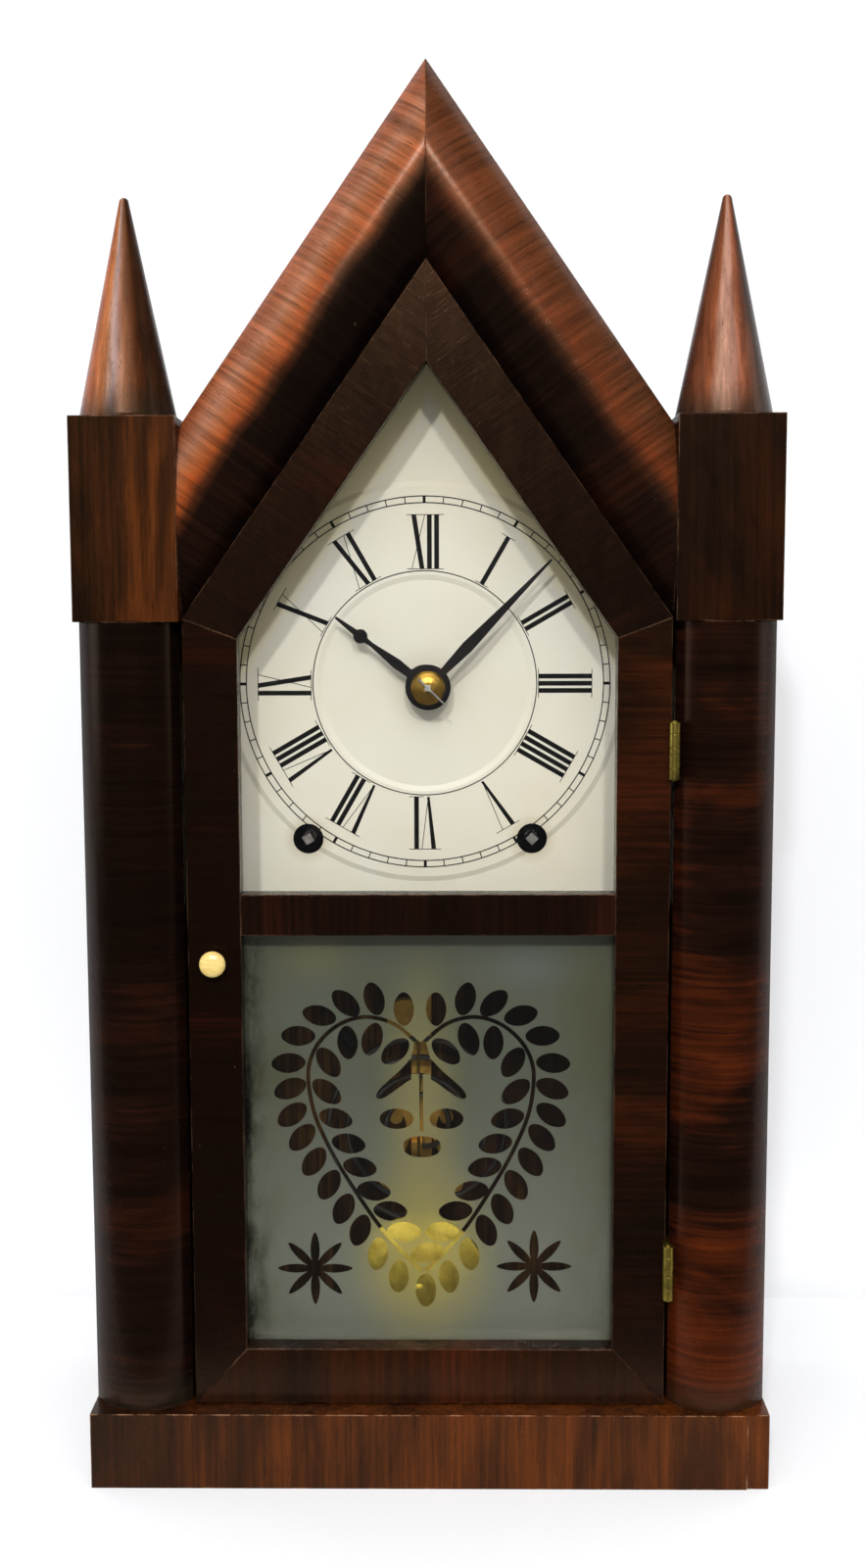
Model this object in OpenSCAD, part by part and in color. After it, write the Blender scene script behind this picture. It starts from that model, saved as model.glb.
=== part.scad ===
// Steeple clock: a gabled mantel clock with two turned steeples, a glazed door, a painted dial
// and a spring-driven time and strike movement. +Z is up, the front faces -Y and the origin is
// under the middle of the case, on the surface that the clock stands on.

/* [Case] */
// Width of the plinth and of the case over the cap blocks
case_w = 248; // [240:1:270]
// Thickness of the case side boards
side_t = 10; // [7:0.5:14]
// Thickness of the back board
back_t = 7; // [4:0.5:9]
// Slope of the roof, up from level
roof_pitch = 54.9; // [50:0.1:58]
// Thickness of the roof boards
roof_t = 7; // [5:0.5:10]
// Thickness of the shoulder boards behind the cap blocks
shoulder_t = 8; // [5:0.5:12]

// Thickness of the battens between the movement and the back board
batten_t = 9.2; // [9:0.1:30]

/* [Plinth] */
// Height of the plinth
plinth_h = 28.2; // [22:0.1:36]
// Thickness of the plinth's front board
plinth_t = 26; // [20:0.5:28]
// Thickness of the plinth's side boards
plinth_side_t = 14; // [10:0.5:20]
// Thickness of the face veneer
veneer_t = 0.7; // [0.5:0.1:1.2]
// Width of the strip at the right end where the veneer is lost
veneer_loss = 8; // [4:0.5:14]
// Thickness of the bottom board
floor_t = 7; // [5:0.5:9]

/* [Pillars, blocks and steeples] */
// Width of a pillar and of the stile behind it
pillar_w = 35.5; // [32:0.5:37]
// Height of a pillar, plinth to cap block
pillar_h = 287.8; // [285:0.1:295]
// Rise of the pillar's rounded face
pillar_rise = 9.6; // [6:0.1:11]
// Distance of the pillar's crown behind the plinth face
pillar_back = 2.6; // [1:0.1:4]
// How far the pillar stands in from the side of the case
pillar_inset = 0.5; // [0:0.1:2]
// Thickness of the front stiles
stile_t = 12; // [9:0.5:12]
// Width of a cap block
block_w = 37; // [36:0.1:37.2]
// Depth of a cap block
block_d = 37.8; // [36:0.1:44]
// Height of a cap block
block_h = 71; // [64:0.5:78]
// Distance of the cap block's face behind the plinth face
block_back = 4.2; // [3:0.1:6]
// Diameter of a steeple at its foot
steeple_d = 34.5; // [28:0.1:35]
// Height of a steeple
steeple_h = 77.5; // [60:0.5:100]
// Radius of the rounded steeple tip
steeple_tip_r = 1.7; // [1:0.1:3]
// Sideways offset of the left steeple on its block
steeple_slip = 1; // [0:0.1:1]

/* [Gable mouldings] */
// Width of the moulding, square to the slope
moulding_w = 38.4; // [34:0.1:42]
// Rise of the moulding's rounded face
moulding_rise = 9.6; // [6:0.1:11]
// Distance of the moulding's crown behind the plinth face
moulding_back = 4.6; // [4:0.1:6]

/* [Door] */
// Thickness of the door frame
door_t = 16; // [14:0.5:18]
// Distance of the door face behind the plinth face
door_back = 7.8; // [7.6:0.1:9]
// Gap between the door and the front stiles
door_gap = 1.8; // [1.8:0.1:3]
// Gap between the door and the gable mouldings
door_top_gap = 0.7; // [0.5:0.1:2]
// Gap between the door and the plinth
door_foot_gap = 0.6; // [0.4:0.1:2]
// Width of the door stiles
door_stile_w = 19.1; // [17:0.1:22]
// Width of the gable rails, square to the slope
door_gable_w = 19.8; // [17:0.1:22]
// Height of the bottom rail
bottom_rail_h = 20.8; // [17:0.1:24]
// Height of the middle rail
middle_rail_h = 14.8; // [13:0.1:18]
// Distance of the middle rail's lower edge below the hands' centre
rail_drop = 87.9; // [84:0.1:97]
// Depth of the glass rebate, from the back of the door
rebate_d = 8; // [6:0.1:9]
// Width of the glass rebate
rebate_w = 5; // [4:0.1:6]
// Thickness of the glass
glass_t = 2; // [1.6:0.1:2.4]
// Width and height of the putty strips
putty = 3.2; // [2:0.1:3.6]
// Gap round the glass
glass_gap = 0.3; // [0.1:0.1:1]

/* [Hinges and latch] */
// Height of a hinge
hinge_h = 20.3; // [16:0.1:30]
// Distance of the upper hinge's middle below the cap blocks
hinge_drop = 45.7; // [30:0.1:65]
// Height of the lower hinge's middle above the plinth
hinge_rise = 51.5; // [30:0.1:90]
// Radius of the hinge knuckles
knuckle_r = 2; // [1.8:0.1:2.2]
// Radius of the hinge pin
hinge_pin_r = 0.9; // [0.7:0.1:1.1]
// Thickness of a hinge leaf
leaf_t = 0.8; // [0.6:0.1:0.8]
// Width of a hinge leaf, from the pin
leaf_w = 12.6; // [10:0.1:14]
// Distance of the pin in front of the door face
hinge_proud = 1.6; // [1.4:0.1:2]
// Diameter of the door knob
knob_d = 9.4; // [8:0.1:11]
// Length of the knob in front of the door
knob_l = 7.2; // [5:0.1:7.4]
// Thickness of the knob's bone in front of its shaft
knob_wall = 2; // [1:0.1:2.5]
// Distance of the knob below the middle rail's lower edge
knob_drop = 9.5; // [-20:0.1:30]
// Distance of the knob in from the door's edge
knob_in = 9.4; // [8:0.1:10]
// Length of the latch hook, from the knob's axis
hook_l = 15; // [14.5:0.1:17]

/* [Dial and hands] */
// Distance of the dial's face behind the plinth face
dial_back = 36; // [35:0.1:37]
// Thickness of the dial plate
dial_t = 0.6; // [0.4:0.1:1]
// Outer radius of the raised chapter ring
ring_r = 72; // [60:0.5:76]
// Inner radius of the raised chapter ring
ring_in_r = 40; // [34:0.5:44]
// Height of the raised chapter ring
ring_rise = 0.7; // [0.4:0.1:1.2]
// Distance of the hands' centre below the cap blocks
hub_drop = 24; // [20:0.5:28]
// Sideways offset of the dial's centre from the hands' centre
dial_dx = -1.3; // [-2:0.1:2]
// Upward offset of the dial's centre from the hands' centre
dial_dz = 1.2; // [-2:0.1:2]
// Radius of the dial's centre hole
dial_hole_r = 7; // [5:0.1:9]
// Radius of the winding holes
wind_hole_r = 5.7; // [5:0.1:7]
// Length of the minute hand
minute_l = 64.3; // [50:0.5:68]
// Angle of the minute hand, clockwise from twelve
minute_a = 44.2; // [0:0.1:360]
// Length of the hour hand
hour_l = 42.3; // [30:0.5:50]
// Angle of the hour hand, clockwise from twelve
hour_a = 307.2; // [0:0.1:360]
// Thickness of the hands
hand_t = 0.8; // [0.5:0.1:1]
// Radius of the hour hand's hub
hour_hub_r = 8.3; // [6:0.1:9]
// Radius of the minute hand's hub
minute_hub_r = 7.3; // [5:0.1:8]
// Radius of the domed washer over the hands
washer_r = 6.2; // [4.5:0.1:6.8]
// Length of the taper pin through the centre arbor
pin_l = 13.2; // [8:0.1:14]

/* [Movement] */
// Distance of the front plate behind the dial's face
motion_room = 19; // [18.5:0.5:22]
// Distance between the plates
plate_gap = 34; // [34:0.5:35]
// Thickness of a plate
plate_t = 1.4; // [1:0.1:1.8]
// Radius of the plate posts
post_r = 3; // [2.5:0.1:3.4]
// Radius of the train pivots
pivot_r = 0.6; // [0.5:0.05:0.8]
// Radial clearance of a running fit
run_gap = 0.06; // [0.02:0.01:0.1]
// Radius of the winding arbors
wind_r = 2.3; // [2:0.1:2.6]
// Width of the winding squares
square_w = 3.4; // [3:0.1:3.6]
// Thickness of the mainsprings
spring_t = 0.45; // [0.3:0.05:0.6]
// Height of the mainsprings, front to back
spring_h = 19; // [12:0.5:19]
// Turns of a mainspring
spring_turns = 8; // [5:1:9]

/* [Pendulum and gong] */
// Height of the bob's middle above the table
bob_z = 59.3; // [56:0.1:80]
// Radius of the bob
bob_r = 26; // [20:0.5:28]
// Thickness of the bob
bob_t = 9; // [6:0.5:10]
// Radius of the pendulum rod
rod_r = 0.6; // [0.5:0.05:0.8]
// Outer radius of the gong coil
gong_r = 42; // [34:0.5:42]
// Radius of the gong wire
gong_wire_r = 1.2; // [0.9:0.1:1.5]
// Turns of the gong coil
gong_turns = 4; // [3:1:5]
// Height of the gong's centre above the table
gong_z = 108.5; // [100:0.5:115]
// Width of the gong stand's post
stand_w = 8.4; // [6:0.1:10]
// Height of the post's top above the gong's centre
stand_rise = 68; // [55:0.5:74]
// Radius of the stand's fixing eye
stand_eye_r = 8; // [6:0.1:9]
// Height of the scrolls on the stand
scroll_h = 37; // [30:0.5:40]
// Thickness of a scroll's band
scroll_t = 3.5; // [2.5:0.1:4]

/* [Hidden] */
$fn = 48;
eps = 0.01;
fine = 96;

// Colours
rosewood = [0.28, 0.13, 0.07];
veneer = [0.38, 0.18, 0.08];
pine = [0.62, 0.47, 0.30];
brass = [0.72, 0.56, 0.28];
steel = [0.35, 0.34, 0.34];
blued = [0.10, 0.08, 0.08];
cream = [0.91, 0.88, 0.80];
glass = [0.75, 0.82, 0.85];
gilt = [0.66, 0.50, 0.20];

// Case lines, measured from the plinth face and from the table
case_d = dial_back + motion_room + 2 * plate_t + plate_gap + batten_t + back_t;
front_y = -case_d / 2;
back_y = case_d / 2;
inner_back_y = back_y - back_t;
pillar_out_x = case_w / 2 - pillar_inset;
pillar_in_x = pillar_out_x - pillar_w;
pillar_mid_x = (pillar_out_x + pillar_in_x) / 2;
pillar_edge = 2;
pillar_back_y = front_y + pillar_back + pillar_rise + pillar_edge;
stile_back_y = pillar_back_y + stile_t;
side_out_x = pillar_out_x;
side_in_x = side_out_x - side_t;
block_z = plinth_h + pillar_h;
block_top_z = block_z + block_h;
hub_z = block_z - hub_drop;
middle_rail_z = hub_z - rail_drop;
hinge_top_z = block_z - hinge_drop;
hinge_low_z = plinth_h + hinge_rise;
knob_z = middle_rail_z - knob_drop;
block_in_x = case_w / 2 - block_w;
block_mid_x = case_w / 2 - block_w / 2;
block_back_y = front_y + block_back + block_d;
slope = tan(roof_pitch);
roof_foot_x = block_in_x - 2;
apex_z = block_top_z + roof_foot_x * slope;
roof_drop = roof_t / cos(roof_pitch);
moulding_apex_z = apex_z - moulding_w / cos(roof_pitch);
moulding_back_y = front_y + moulding_back + moulding_rise + pillar_edge + stile_t;

// Door lines
door_y = front_y + door_back;
door_back_y = door_y + door_t;
door_x = pillar_in_x - door_gap;
door_z = plinth_h + door_foot_gap;
door_apex_z = moulding_apex_z - door_top_gap / cos(roof_pitch);
open_x = door_x - door_stile_w;
open_apex_z = door_apex_z - door_gable_w / cos(roof_pitch);
open_low_z = door_z + bottom_rail_h;
open_up_z = middle_rail_z + middle_rail_h;
rebate_y = door_back_y - rebate_d;
hinge_x = (door_x + pillar_in_x) / 2;
hinge_y = door_y - hinge_proud;
knuckle_gap = 0.15;
knob_x = -(door_x - knob_in);
hook_y = door_back_y + 0.3;
hook_t = 1.2;
hook_h = 4;
shaft_r = 1.5;

// Dial and hand layers, front to back
dial_y = front_y + dial_back;
dial_cx = dial_dx;
dial_cz = hub_z + dial_dz;
dial_half_w = pillar_in_x - 1;
dial_low_z = open_up_z - 8;
dial_apex_z = open_apex_z + 14;
hour_y = dial_y - 7.2;
minute_y = hour_y - 3.8;
washer_y = minute_y - 2.4;
arbor_tip_y = washer_y - 2.8;
arbor_r = 1.5;
arbor_sq = 2.1;
pipe_r = 2.9;

// Movement layers: depths behind the inner face of the front plate
plate_y = dial_y + motion_room;
inner_y = plate_y + plate_t;
back_plate_y = inner_y + plate_gap;
batten_y = back_plate_y + plate_t;
main_d = 2.5;
main_t = 1.5;
ratchet_d = 0.7;
ratchet_t = 1.4;
count_d = 6;
warn_d = 9;
centre_d = 12;
pin_wheel_d = 16.5;
third_d = 20;
spring_d = plate_gap - 6 - spring_h;
second_d = plate_gap - 4;
wheel_t = 1.2;
motion_y = plate_y - 11.6;

// Gear modules, teeth and lantern wires
main_m = 0.85;
second_m = 0.8;
fine_m = 0.55;
strike_m = 0.6;
warn_m = 0.5;
dial_m = 0.6;
main_n = 72;
second_n = 72;
centre_n = 72;
third_n = 66;
escape_n = 26;
drive_n = 12;
train_n = 6;
pin_n = 60;
pin_pinion_n = 8;
warn_n = 48;
cannon_n = 15;
minute_n = 45;
dial_pinion_n = 12;
hour_n = 48;
strike_pins = 10;
ratchet_n = 24;
tooth_mid = 0.42;
tooth_tip = 0.24;
addendum = 0.8;
dedendum = 1;
wire_share = 0.18;

// Distance between a wheel and the lantern that it meshes with
function mesh(n, wires, m) = (n + wires) * m / 2;
// Point at distance ra from a and rb from b, to the right of the line from a to b if side is 1
function meet(a, ra, b, rb, side) =
    let (d = norm(b - a), u = (b - a) / d)
    let (s = (ra * ra - rb * rb + d * d) / (2 * d), h = sqrt(ra * ra - s * s))
    a + u * s + side * h * [u[1], -u[0]];
function along(a, r, angle) = a + r * [cos(angle), sin(angle)];
function heading(a, b) = atan2(b[1] - a[1], b[0] - a[0]);

// Arbors, as [x, z] from the hands' centre
centre_p = [0, 0];
time_main_p = [38.5, -56.6];
strike_main_p = [-45, -56.6];
verge_p = [-4.4, 40.7];
escape_r = 12.5;
escape_p = verge_p - [0, escape_r * sqrt(2)];
time_second_p = meet(centre_p, mesh(second_n, drive_n, second_m), time_main_p,
    mesh(main_n, drive_n, main_m), -1);
third_p = meet(centre_p, mesh(centre_n, train_n, fine_m), escape_p,
    mesh(third_n, train_n, fine_m), 1);
count_p = along(strike_main_p, mesh(main_n, drive_n, main_m), 78.7);
pin_p = along(count_p, mesh(second_n, pin_pinion_n, strike_m), 73);
warn_p = along(pin_p, mesh(pin_n, train_n, fine_m), 100);
fly_p = along(warn_p, mesh(warn_n, train_n, warn_m), 60);
minute_p = along(centre_p, mesh(minute_n, cannon_n, dial_m), -50);
hammer_p = [-11.5, -38];
lever_p = [-58, -3.6];
posts = [[-60, 43], [53, 43], [-62.5, 3], [56, -8], [2, -70]];
strike_post = posts[2];
time_post = posts[3];
post_tenon_r = post_r * 0.6;
plate_x0 = -66.5;
plate_x1 = 60;
plate_z0 = -75;
plate_z1 = 50;
ear_xs = [-54, 47];
ear_w = 12;
ear_h = 14;
screw_r = 1.6;
screw_l = 7;
screw_ps = [for (x = ear_xs, z = [plate_z1 + ear_h / 2, plate_z0 - ear_h / 2]) [x, z]];

// Pendulum, escapement and gong
rod_y = plate_y - 7.2;
gong_y = inner_back_y - 13;
gong_x = -3.9;
gong_in_r = 9;
hammer_y = gong_y;

// Placing helpers: shapes are drawn in XY as seen from the front, rising towards the viewer
module facing(p, y) translate([p[0], y, p[1]]) rotate([90, 0, 0]) children();
module on_arbor(p, y) facing([p[0], hub_z + p[1]], y) children();
module disc(p, y0, y1, r) on_arbor(p, y1) cylinder(h = y1 - y0, r = r);
module slab(points, y0, y1) facing([0, 0], y1) linear_extrude(y1 - y0) polygon(points);
module box(a, b) translate(a) cube(b - a);
module both_sides() { children(); mirror([1, 0, 0]) children(); }
module rod(a, b, r) {
    d = b - a;
    translate(a) rotate([0, acos(d[2] / norm(d)), atan2(d[1], d[0])]) cylinder(h = norm(d), r = r);
}
module wire(points, r) {
    for (i = [1 : len(points) - 1]) rod(points[i - 1], points[i], r);
    for (i = [1 : 1 : len(points) - 2]) translate(points[i]) sphere(r * 1.1);
}

// Gabled outline with a half width, a foot and an apex
function gable_pts(x, foot, apex) = [[-x, foot], [x, foot], [x, apex - x * slope], [0, apex],
    [-x, apex - x * slope]];

// Half-round section: width along X, crown at the front, extruded along Z
function arc_r(w, rise) = (w * w / 4 + rise * rise) / (2 * rise);
module half_round(w, rise, edge, h) {
    r = arc_r(w, rise);
    intersection() {
        translate([0, r, 0]) cylinder(h = h, r = r, $fn = fine);
        translate([-w / 2, -1, -1]) cube([w, rise + edge + 1, h + 2]);
    }
}

// Toothed wheel with crossings, centred, rising along +Z
function tooth_pts(n, m, phase) =
    let (p = 360 / n, r = m * n / 2, ro = r + addendum * m, rr = r - dedendum * m)
    let (am = tooth_mid * p / 2, at = tooth_tip * p / 2 * r / ro)
    let (ar = am + (am - at) * (r - rr) / (ro - r))
    [for (k = [0 : n - 1], q = [[rr, -ar], [ro, -at], [ro, at], [rr, ar]])
        q[0] * [cos(phase + k * p + q[1]), sin(phase + k * p + q[1])]];
module toothed_wheel(n, m, t, phase, arms, hub_r, arm_w, rim) {
    rim_r = m * n / 2 - dedendum * m - rim;
    difference() {
        linear_extrude(t) polygon(tooth_pts(n, m, phase));
        if (arms > 0) difference() {
            translate([0, 0, -1]) cylinder(h = t + 2, r = rim_r);
            translate([0, 0, -2]) cylinder(h = t + 4, r = hub_r);
            for (i = [0 : arms - 1])
                rotate(i * 360 / arms) translate([0, -arm_w / 2, -2]) cube([rim_r + 1, arm_w, t + 4]);
        }
    }
}
// Lantern pinion: steel wires between two shrouds, rising along +Z
module lantern(n, m, l, phase, shroud_t, core_r) {
    r = m * n / 2;
    wire_r = wire_share * PI * m;
    shroud_r = r + wire_r + 0.4;
    for (z = [0, l - shroud_t]) translate([0, 0, z]) cylinder(h = shroud_t, r = shroud_r);
    for (k = [0 : n - 1])
        rotate(phase + k * 360 / n) translate([r, 0, shroud_t / 2])
            cylinder(h = l - shroud_t, r = wire_r, $fn = 24);
    cylinder(h = l, r = core_r);
}
// Wheel between y0 and y0 + t on an arbor, a gap facing the arbor that it drives
module wheel_on(p, to, n, m, y0, t, arms, hub_r, arm_w, rim)
    on_arbor(p, y0 + t) toothed_wheel(n, m, t, heading(p, to) + 180 / n, arms, hub_r, arm_w, rim);
// Lantern between y0 and y1 on an arbor, a wire facing the arbor that drives it
module lantern_on(p, from, n, m, y0, y1, core_r)
    on_arbor(p, y1) lantern(n, m, y1 - y0, heading(p, from), 0.8, core_r);
// Train arbor with its two pivots, from the front plate to the back plate
module train_arbor(p, r) {
    end = 0.5;
    disc(p, inner_y + end, back_plate_y - end, r);
    disc(p, plate_y, inner_y + end + eps, pivot_r);
    disc(p, back_plate_y - end - eps, batten_y, pivot_r);
}

// Case
module plinth_front() color(veneer) {
    half = case_w / 2;
    difference() {
        box([-half, front_y, 0], [half, front_y + plinth_t, plinth_h]);
        box([half - veneer_loss, front_y - 1, -1], [half + 1, front_y + veneer_t, plinth_h + 1]);
    }
}
module plinth_sides() color(rosewood) both_sides()
    box([case_w / 2 - plinth_side_t, front_y + plinth_t, 0], [case_w / 2, inner_back_y, plinth_h]);
module bottom_board() color(pine)
    box([-case_w / 2 + plinth_side_t, front_y + plinth_t, 4],
        [case_w / 2 - plinth_side_t, inner_back_y, 4 + floor_t]);
module case_sides() color(rosewood) both_sides() {
    box([side_in_x, stile_back_y, plinth_h], [side_out_x, inner_back_y, block_z]);
    box([side_in_x, block_back_y, block_z], [side_out_x, inner_back_y, block_top_z - shoulder_t]);
}
module latch_pocket() {
    clear = 0.6;
    box([-pillar_in_x - 8, door_back_y - 0.4, knob_z - hook_l - clear],
        [-pillar_in_x + 1, stile_back_y + 1, knob_z + hook_h]);
}
module leaf_recess(z) {
    clear = 0.3;
    translate([hinge_x, hinge_y, z - hinge_h / 2 - clear])
        cylinder(h = hinge_h + 2 * clear, r = knuckle_r + clear);
}
module front_stiles() color(rosewood) difference() {
    both_sides() box([pillar_in_x, pillar_back_y, plinth_h], [pillar_out_x, stile_back_y, block_z]);
    latch_pocket();
}
module pillar_at(x) translate([x, front_y + pillar_back, plinth_h])
    half_round(pillar_w, pillar_rise, pillar_edge, pillar_h);
module pillar_left() color(veneer) pillar_at(-pillar_mid_x);
module pillar_right() color(veneer) pillar_at(pillar_mid_x);
module cap_block() box([block_in_x, front_y + block_back, block_z], [case_w / 2, block_back_y, block_top_z]);
module cap_block_left() color(veneer) mirror([1, 0, 0]) cap_block();
module cap_block_right() color(veneer) cap_block();

// Steeple: a plain cone with a rounded tip, solid of revolution
module steeple() {
    run = steeple_h - steeple_tip_r;
    // The flank touches the tip's ball where this angle from level is met
    flank = atan2(steeple_d / 2 - steeple_tip_r, run);
    rotate_extrude($fn = fine) {
        polygon([[0, 0], [steeple_d / 2, 0], [steeple_d / 2, 1.2],
            [steeple_tip_r * cos(flank), run + steeple_tip_r * sin(flank)],
            [0, run + steeple_tip_r * sin(flank)]]);
        intersection() {
            translate([0, run]) circle(steeple_tip_r);
            translate([0, run]) square(2 * steeple_tip_r);
        }
    }
}
module steeple_at(x) translate([x, (front_y + block_back + block_back_y) / 2, block_top_z]) steeple();
module steeple_left() color(veneer) steeple_at(-block_mid_x - steeple_slip);
module steeple_right() color(veneer) steeple_at(block_mid_x);

module roof_boards() color(rosewood) both_sides() {
    inner_foot_x = roof_foot_x - roof_drop / slope;
    slab([[roof_foot_x, block_top_z], [0, apex_z], [0, apex_z - roof_drop], [inner_foot_x, block_top_z]],
        moulding_back_y, inner_back_y);
    difference() {
        box([inner_foot_x, moulding_back_y, block_top_z - shoulder_t],
            [side_out_x, inner_back_y, block_top_z]);
        box([block_in_x, moulding_back_y - 1, block_z], [case_w, block_back_y, block_top_z + 1]);
    }
}
// Gable moulding: the pillar's section laid along the slope, mitred at the apex and cut
// upright against the cap block
module gable_moulding() {
    run = apex_z / sin(roof_pitch);
    cut_x = block_in_x;
    intersection() {
        translate([0, front_y + moulding_back, apex_z]) rotate([0, 90 + roof_pitch, 0])
            translate([moulding_w / 2, 0, -moulding_w * 2])
            half_round(moulding_w, moulding_rise, pillar_edge + stile_t, run);
        box([0, front_y, block_z - 20], [cut_x, back_y, apex_z + 1]);
    }
}
module gable_moulding_right() color(veneer) gable_moulding();
module gable_moulding_left() color(veneer) mirror([1, 0, 0]) gable_moulding();
module back_board() color(pine)
    slab([[-side_out_x, 0], [side_out_x, 0], [side_out_x, block_top_z], [roof_foot_x, block_top_z],
        [0, apex_z], [-roof_foot_x, block_top_z], [-side_out_x, block_top_z]], inner_back_y, back_y);
module mounting_battens() color(pine) {
    batten_x = 78;
    both_sides() box([batten_x, dial_y + dial_t, dial_low_z + 4],
        [side_in_x, dial_y + dial_t + 12, block_z - 6]);
    difference() {
        for (z = [plate_z1 - 2, plate_z0 - ear_h])
            box([-side_in_x, batten_y, hub_z + z], [side_in_x, inner_back_y, hub_z + z + ear_h + 2]);
        for (p = screw_ps) disc(p, batten_y - 1, batten_y + screw_l, screw_r);
    }
}

// Door frame: rebated section cut into its six members
module door_slice(points) intersection() {
    difference() {
        slab(gable_pts(door_x, door_z, door_apex_z), door_y, door_back_y);
        slab(gable_pts(open_x, open_up_z, open_apex_z), door_y - 1, door_back_y + 1);
        slab(upper_rebate(0), rebate_y, door_back_y + 1);
        box([-open_x, door_y - 1, open_low_z], [open_x, door_back_y + 1, middle_rail_z]);
        box([-open_x - rebate_w, rebate_y, open_low_z - rebate_w],
            [open_x + rebate_w, door_back_y + 1, middle_rail_z + rebate_w]);
    }
    slab(points, door_y - 2, door_back_y + 2);
}
// Outline of the upper glass rebate, drawn in by a gap
function upper_rebate(gap) = gable_pts(open_x + rebate_w - gap, open_up_z - rebate_w + gap,
    open_apex_z + (rebate_w - gap) / cos(roof_pitch));
shoulder_z = door_apex_z - door_x * slope;
open_shoulder_z = open_apex_z - open_x * slope;
stile_pts = [[open_x, open_low_z], [door_x, door_z], [door_x, shoulder_z], [open_x, open_shoulder_z]];
module door_stile_right() color(rosewood) difference() {
    door_slice(stile_pts);
    for (z = [hinge_top_z, hinge_low_z]) leaf_recess(z);
}
module door_stile_left() color(rosewood) difference() {
    mirror([1, 0, 0]) door_slice(stile_pts);
    facing([knob_x, knob_z], door_back_y + 1) cylinder(h = door_t + 2, r = shaft_r + run_gap);
}
module door_bottom_rail() color(rosewood)
    door_slice([[-door_x, door_z], [door_x, door_z], [open_x, open_low_z], [-open_x, open_low_z]]);
module door_middle_rail() color(rosewood) difference() {
    box([-open_x, door_y, middle_rail_z], [open_x, door_back_y, open_up_z]);
    for (z = [middle_rail_z, open_up_z])
        box([-open_x - 1, rebate_y, z - rebate_w], [open_x + 1, door_back_y + 1, z + rebate_w]);
}
gable_rail_pts = [[0, open_apex_z], [open_x, open_shoulder_z], [door_x, shoulder_z], [0, door_apex_z]];
module door_gable_rail_right() color(rosewood) door_slice(gable_rail_pts);
module door_gable_rail_left() color(rosewood) mirror([1, 0, 0]) door_slice(gable_rail_pts);

module upper_glass() color(glass, 0.4) slab(upper_rebate(glass_gap), rebate_y, rebate_y + glass_t);
lower_glass_x = open_x + rebate_w - glass_gap;
module lower_glass() color(glass, 0.7)
    box([-lower_glass_x, rebate_y, open_low_z - rebate_w + glass_gap],
        [lower_glass_x, rebate_y + glass_t, middle_rail_z + rebate_w - glass_gap]);
// Putty strips, sloped from the glass to the rebate's back edge
module glazing_strips() color(pine) {
    y0 = rebate_y + glass_t;
    difference() {
        slab(upper_rebate(0), y0, y0 + putty);
        slab(upper_rebate(putty), y0 - 1, y0 + putty + 1);
    }
    x = open_x + rebate_w;
    z0 = open_low_z - rebate_w;
    z1 = middle_rail_z + rebate_w;
    difference() {
        box([-x, y0, z0], [x, y0 + putty, z1]);
        box([-x + putty, y0 - 1, z0 + putty], [x - putty, y0 + putty + 1, z1 - putty]);
    }
}

// Hinges: five knuckles, the case leaf holding the outer and middle ones and the pin
knuckle_ends = [0, 0.2, 0.44, 0.56, 0.8, 1];
module hinge_leaf(z, own, x0, x1, bored) {
    base = z - hinge_h / 2;
    difference() {
        union() {
            for (i = own) translate([hinge_x, hinge_y, base + knuckle_ends[i] * hinge_h + knuckle_gap / 2])
                cylinder(h = (knuckle_ends[i + 1] - knuckle_ends[i]) * hinge_h - knuckle_gap, r = knuckle_r);
            difference() {
                box([x0, hinge_y, base], [x1, hinge_y + leaf_w, base + hinge_h]);
                for (i = [0 : 4]) if (len(search(i, own)) == 0)
                    translate([hinge_x, hinge_y, base + knuckle_ends[i] * hinge_h - knuckle_gap / 2])
                    cylinder(h = (knuckle_ends[i + 1] - knuckle_ends[i]) * hinge_h + knuckle_gap,
                        r = knuckle_r + 2 * knuckle_gap);
            }
        }
        if (bored) translate([hinge_x, hinge_y, base - 1])
            cylinder(h = hinge_h + 2, r = hinge_pin_r + run_gap);
    }
    if (!bored) translate([hinge_x, hinge_y, base - 0.5]) cylinder(h = hinge_h + 1, r = hinge_pin_r);
}
module hinge_case_leaves() color(brass) for (z = [hinge_top_z, hinge_low_z])
    hinge_leaf(z, [0, 2, 4], pillar_in_x - leaf_t, pillar_in_x, false);
module hinge_door_leaves() color(brass) for (z = [hinge_top_z, hinge_low_z])
    hinge_leaf(z, [1, 3], door_x, door_x + leaf_t, true);

// Door knob, a mushroom of bone on a short neck, and the hook on its shaft
module door_knob() color(cream) facing([knob_x, knob_z], door_y - 0.2) rotate_extrude($fn = fine) {
    r = knob_d / 2;
    polygon([[shaft_r, 0], [r * 0.55, 0], [r * 0.5, knob_l * 0.3], [r * 0.86, knob_l * 0.42],
        [r * 0.98, knob_l * 0.54], [r, knob_l * 0.62], [r * 0.96, knob_l * 0.74], [r * 0.8, knob_l * 0.87],
        [r * 0.55, knob_l * 0.94], [r * 0.28, knob_l - 0.25], [0, knob_l - 0.2],
        [0, knob_l - 0.2 - knob_wall], [shaft_r, knob_l - 0.2 - knob_wall]]);
}
module latch_hook() color(steel) {
    tip = 3.4;
    facing([knob_x, knob_z], hook_y + hook_t) {
        cylinder(h = hook_y + hook_t - door_y + knob_l - knob_wall, r = shaft_r);
        cylinder(h = hook_t, r = hook_h / 2 + 0.6);
        translate([-hook_h / 2, -hook_l, 0]) cube([hook_h, hook_l, hook_t]);
    }
}

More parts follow.
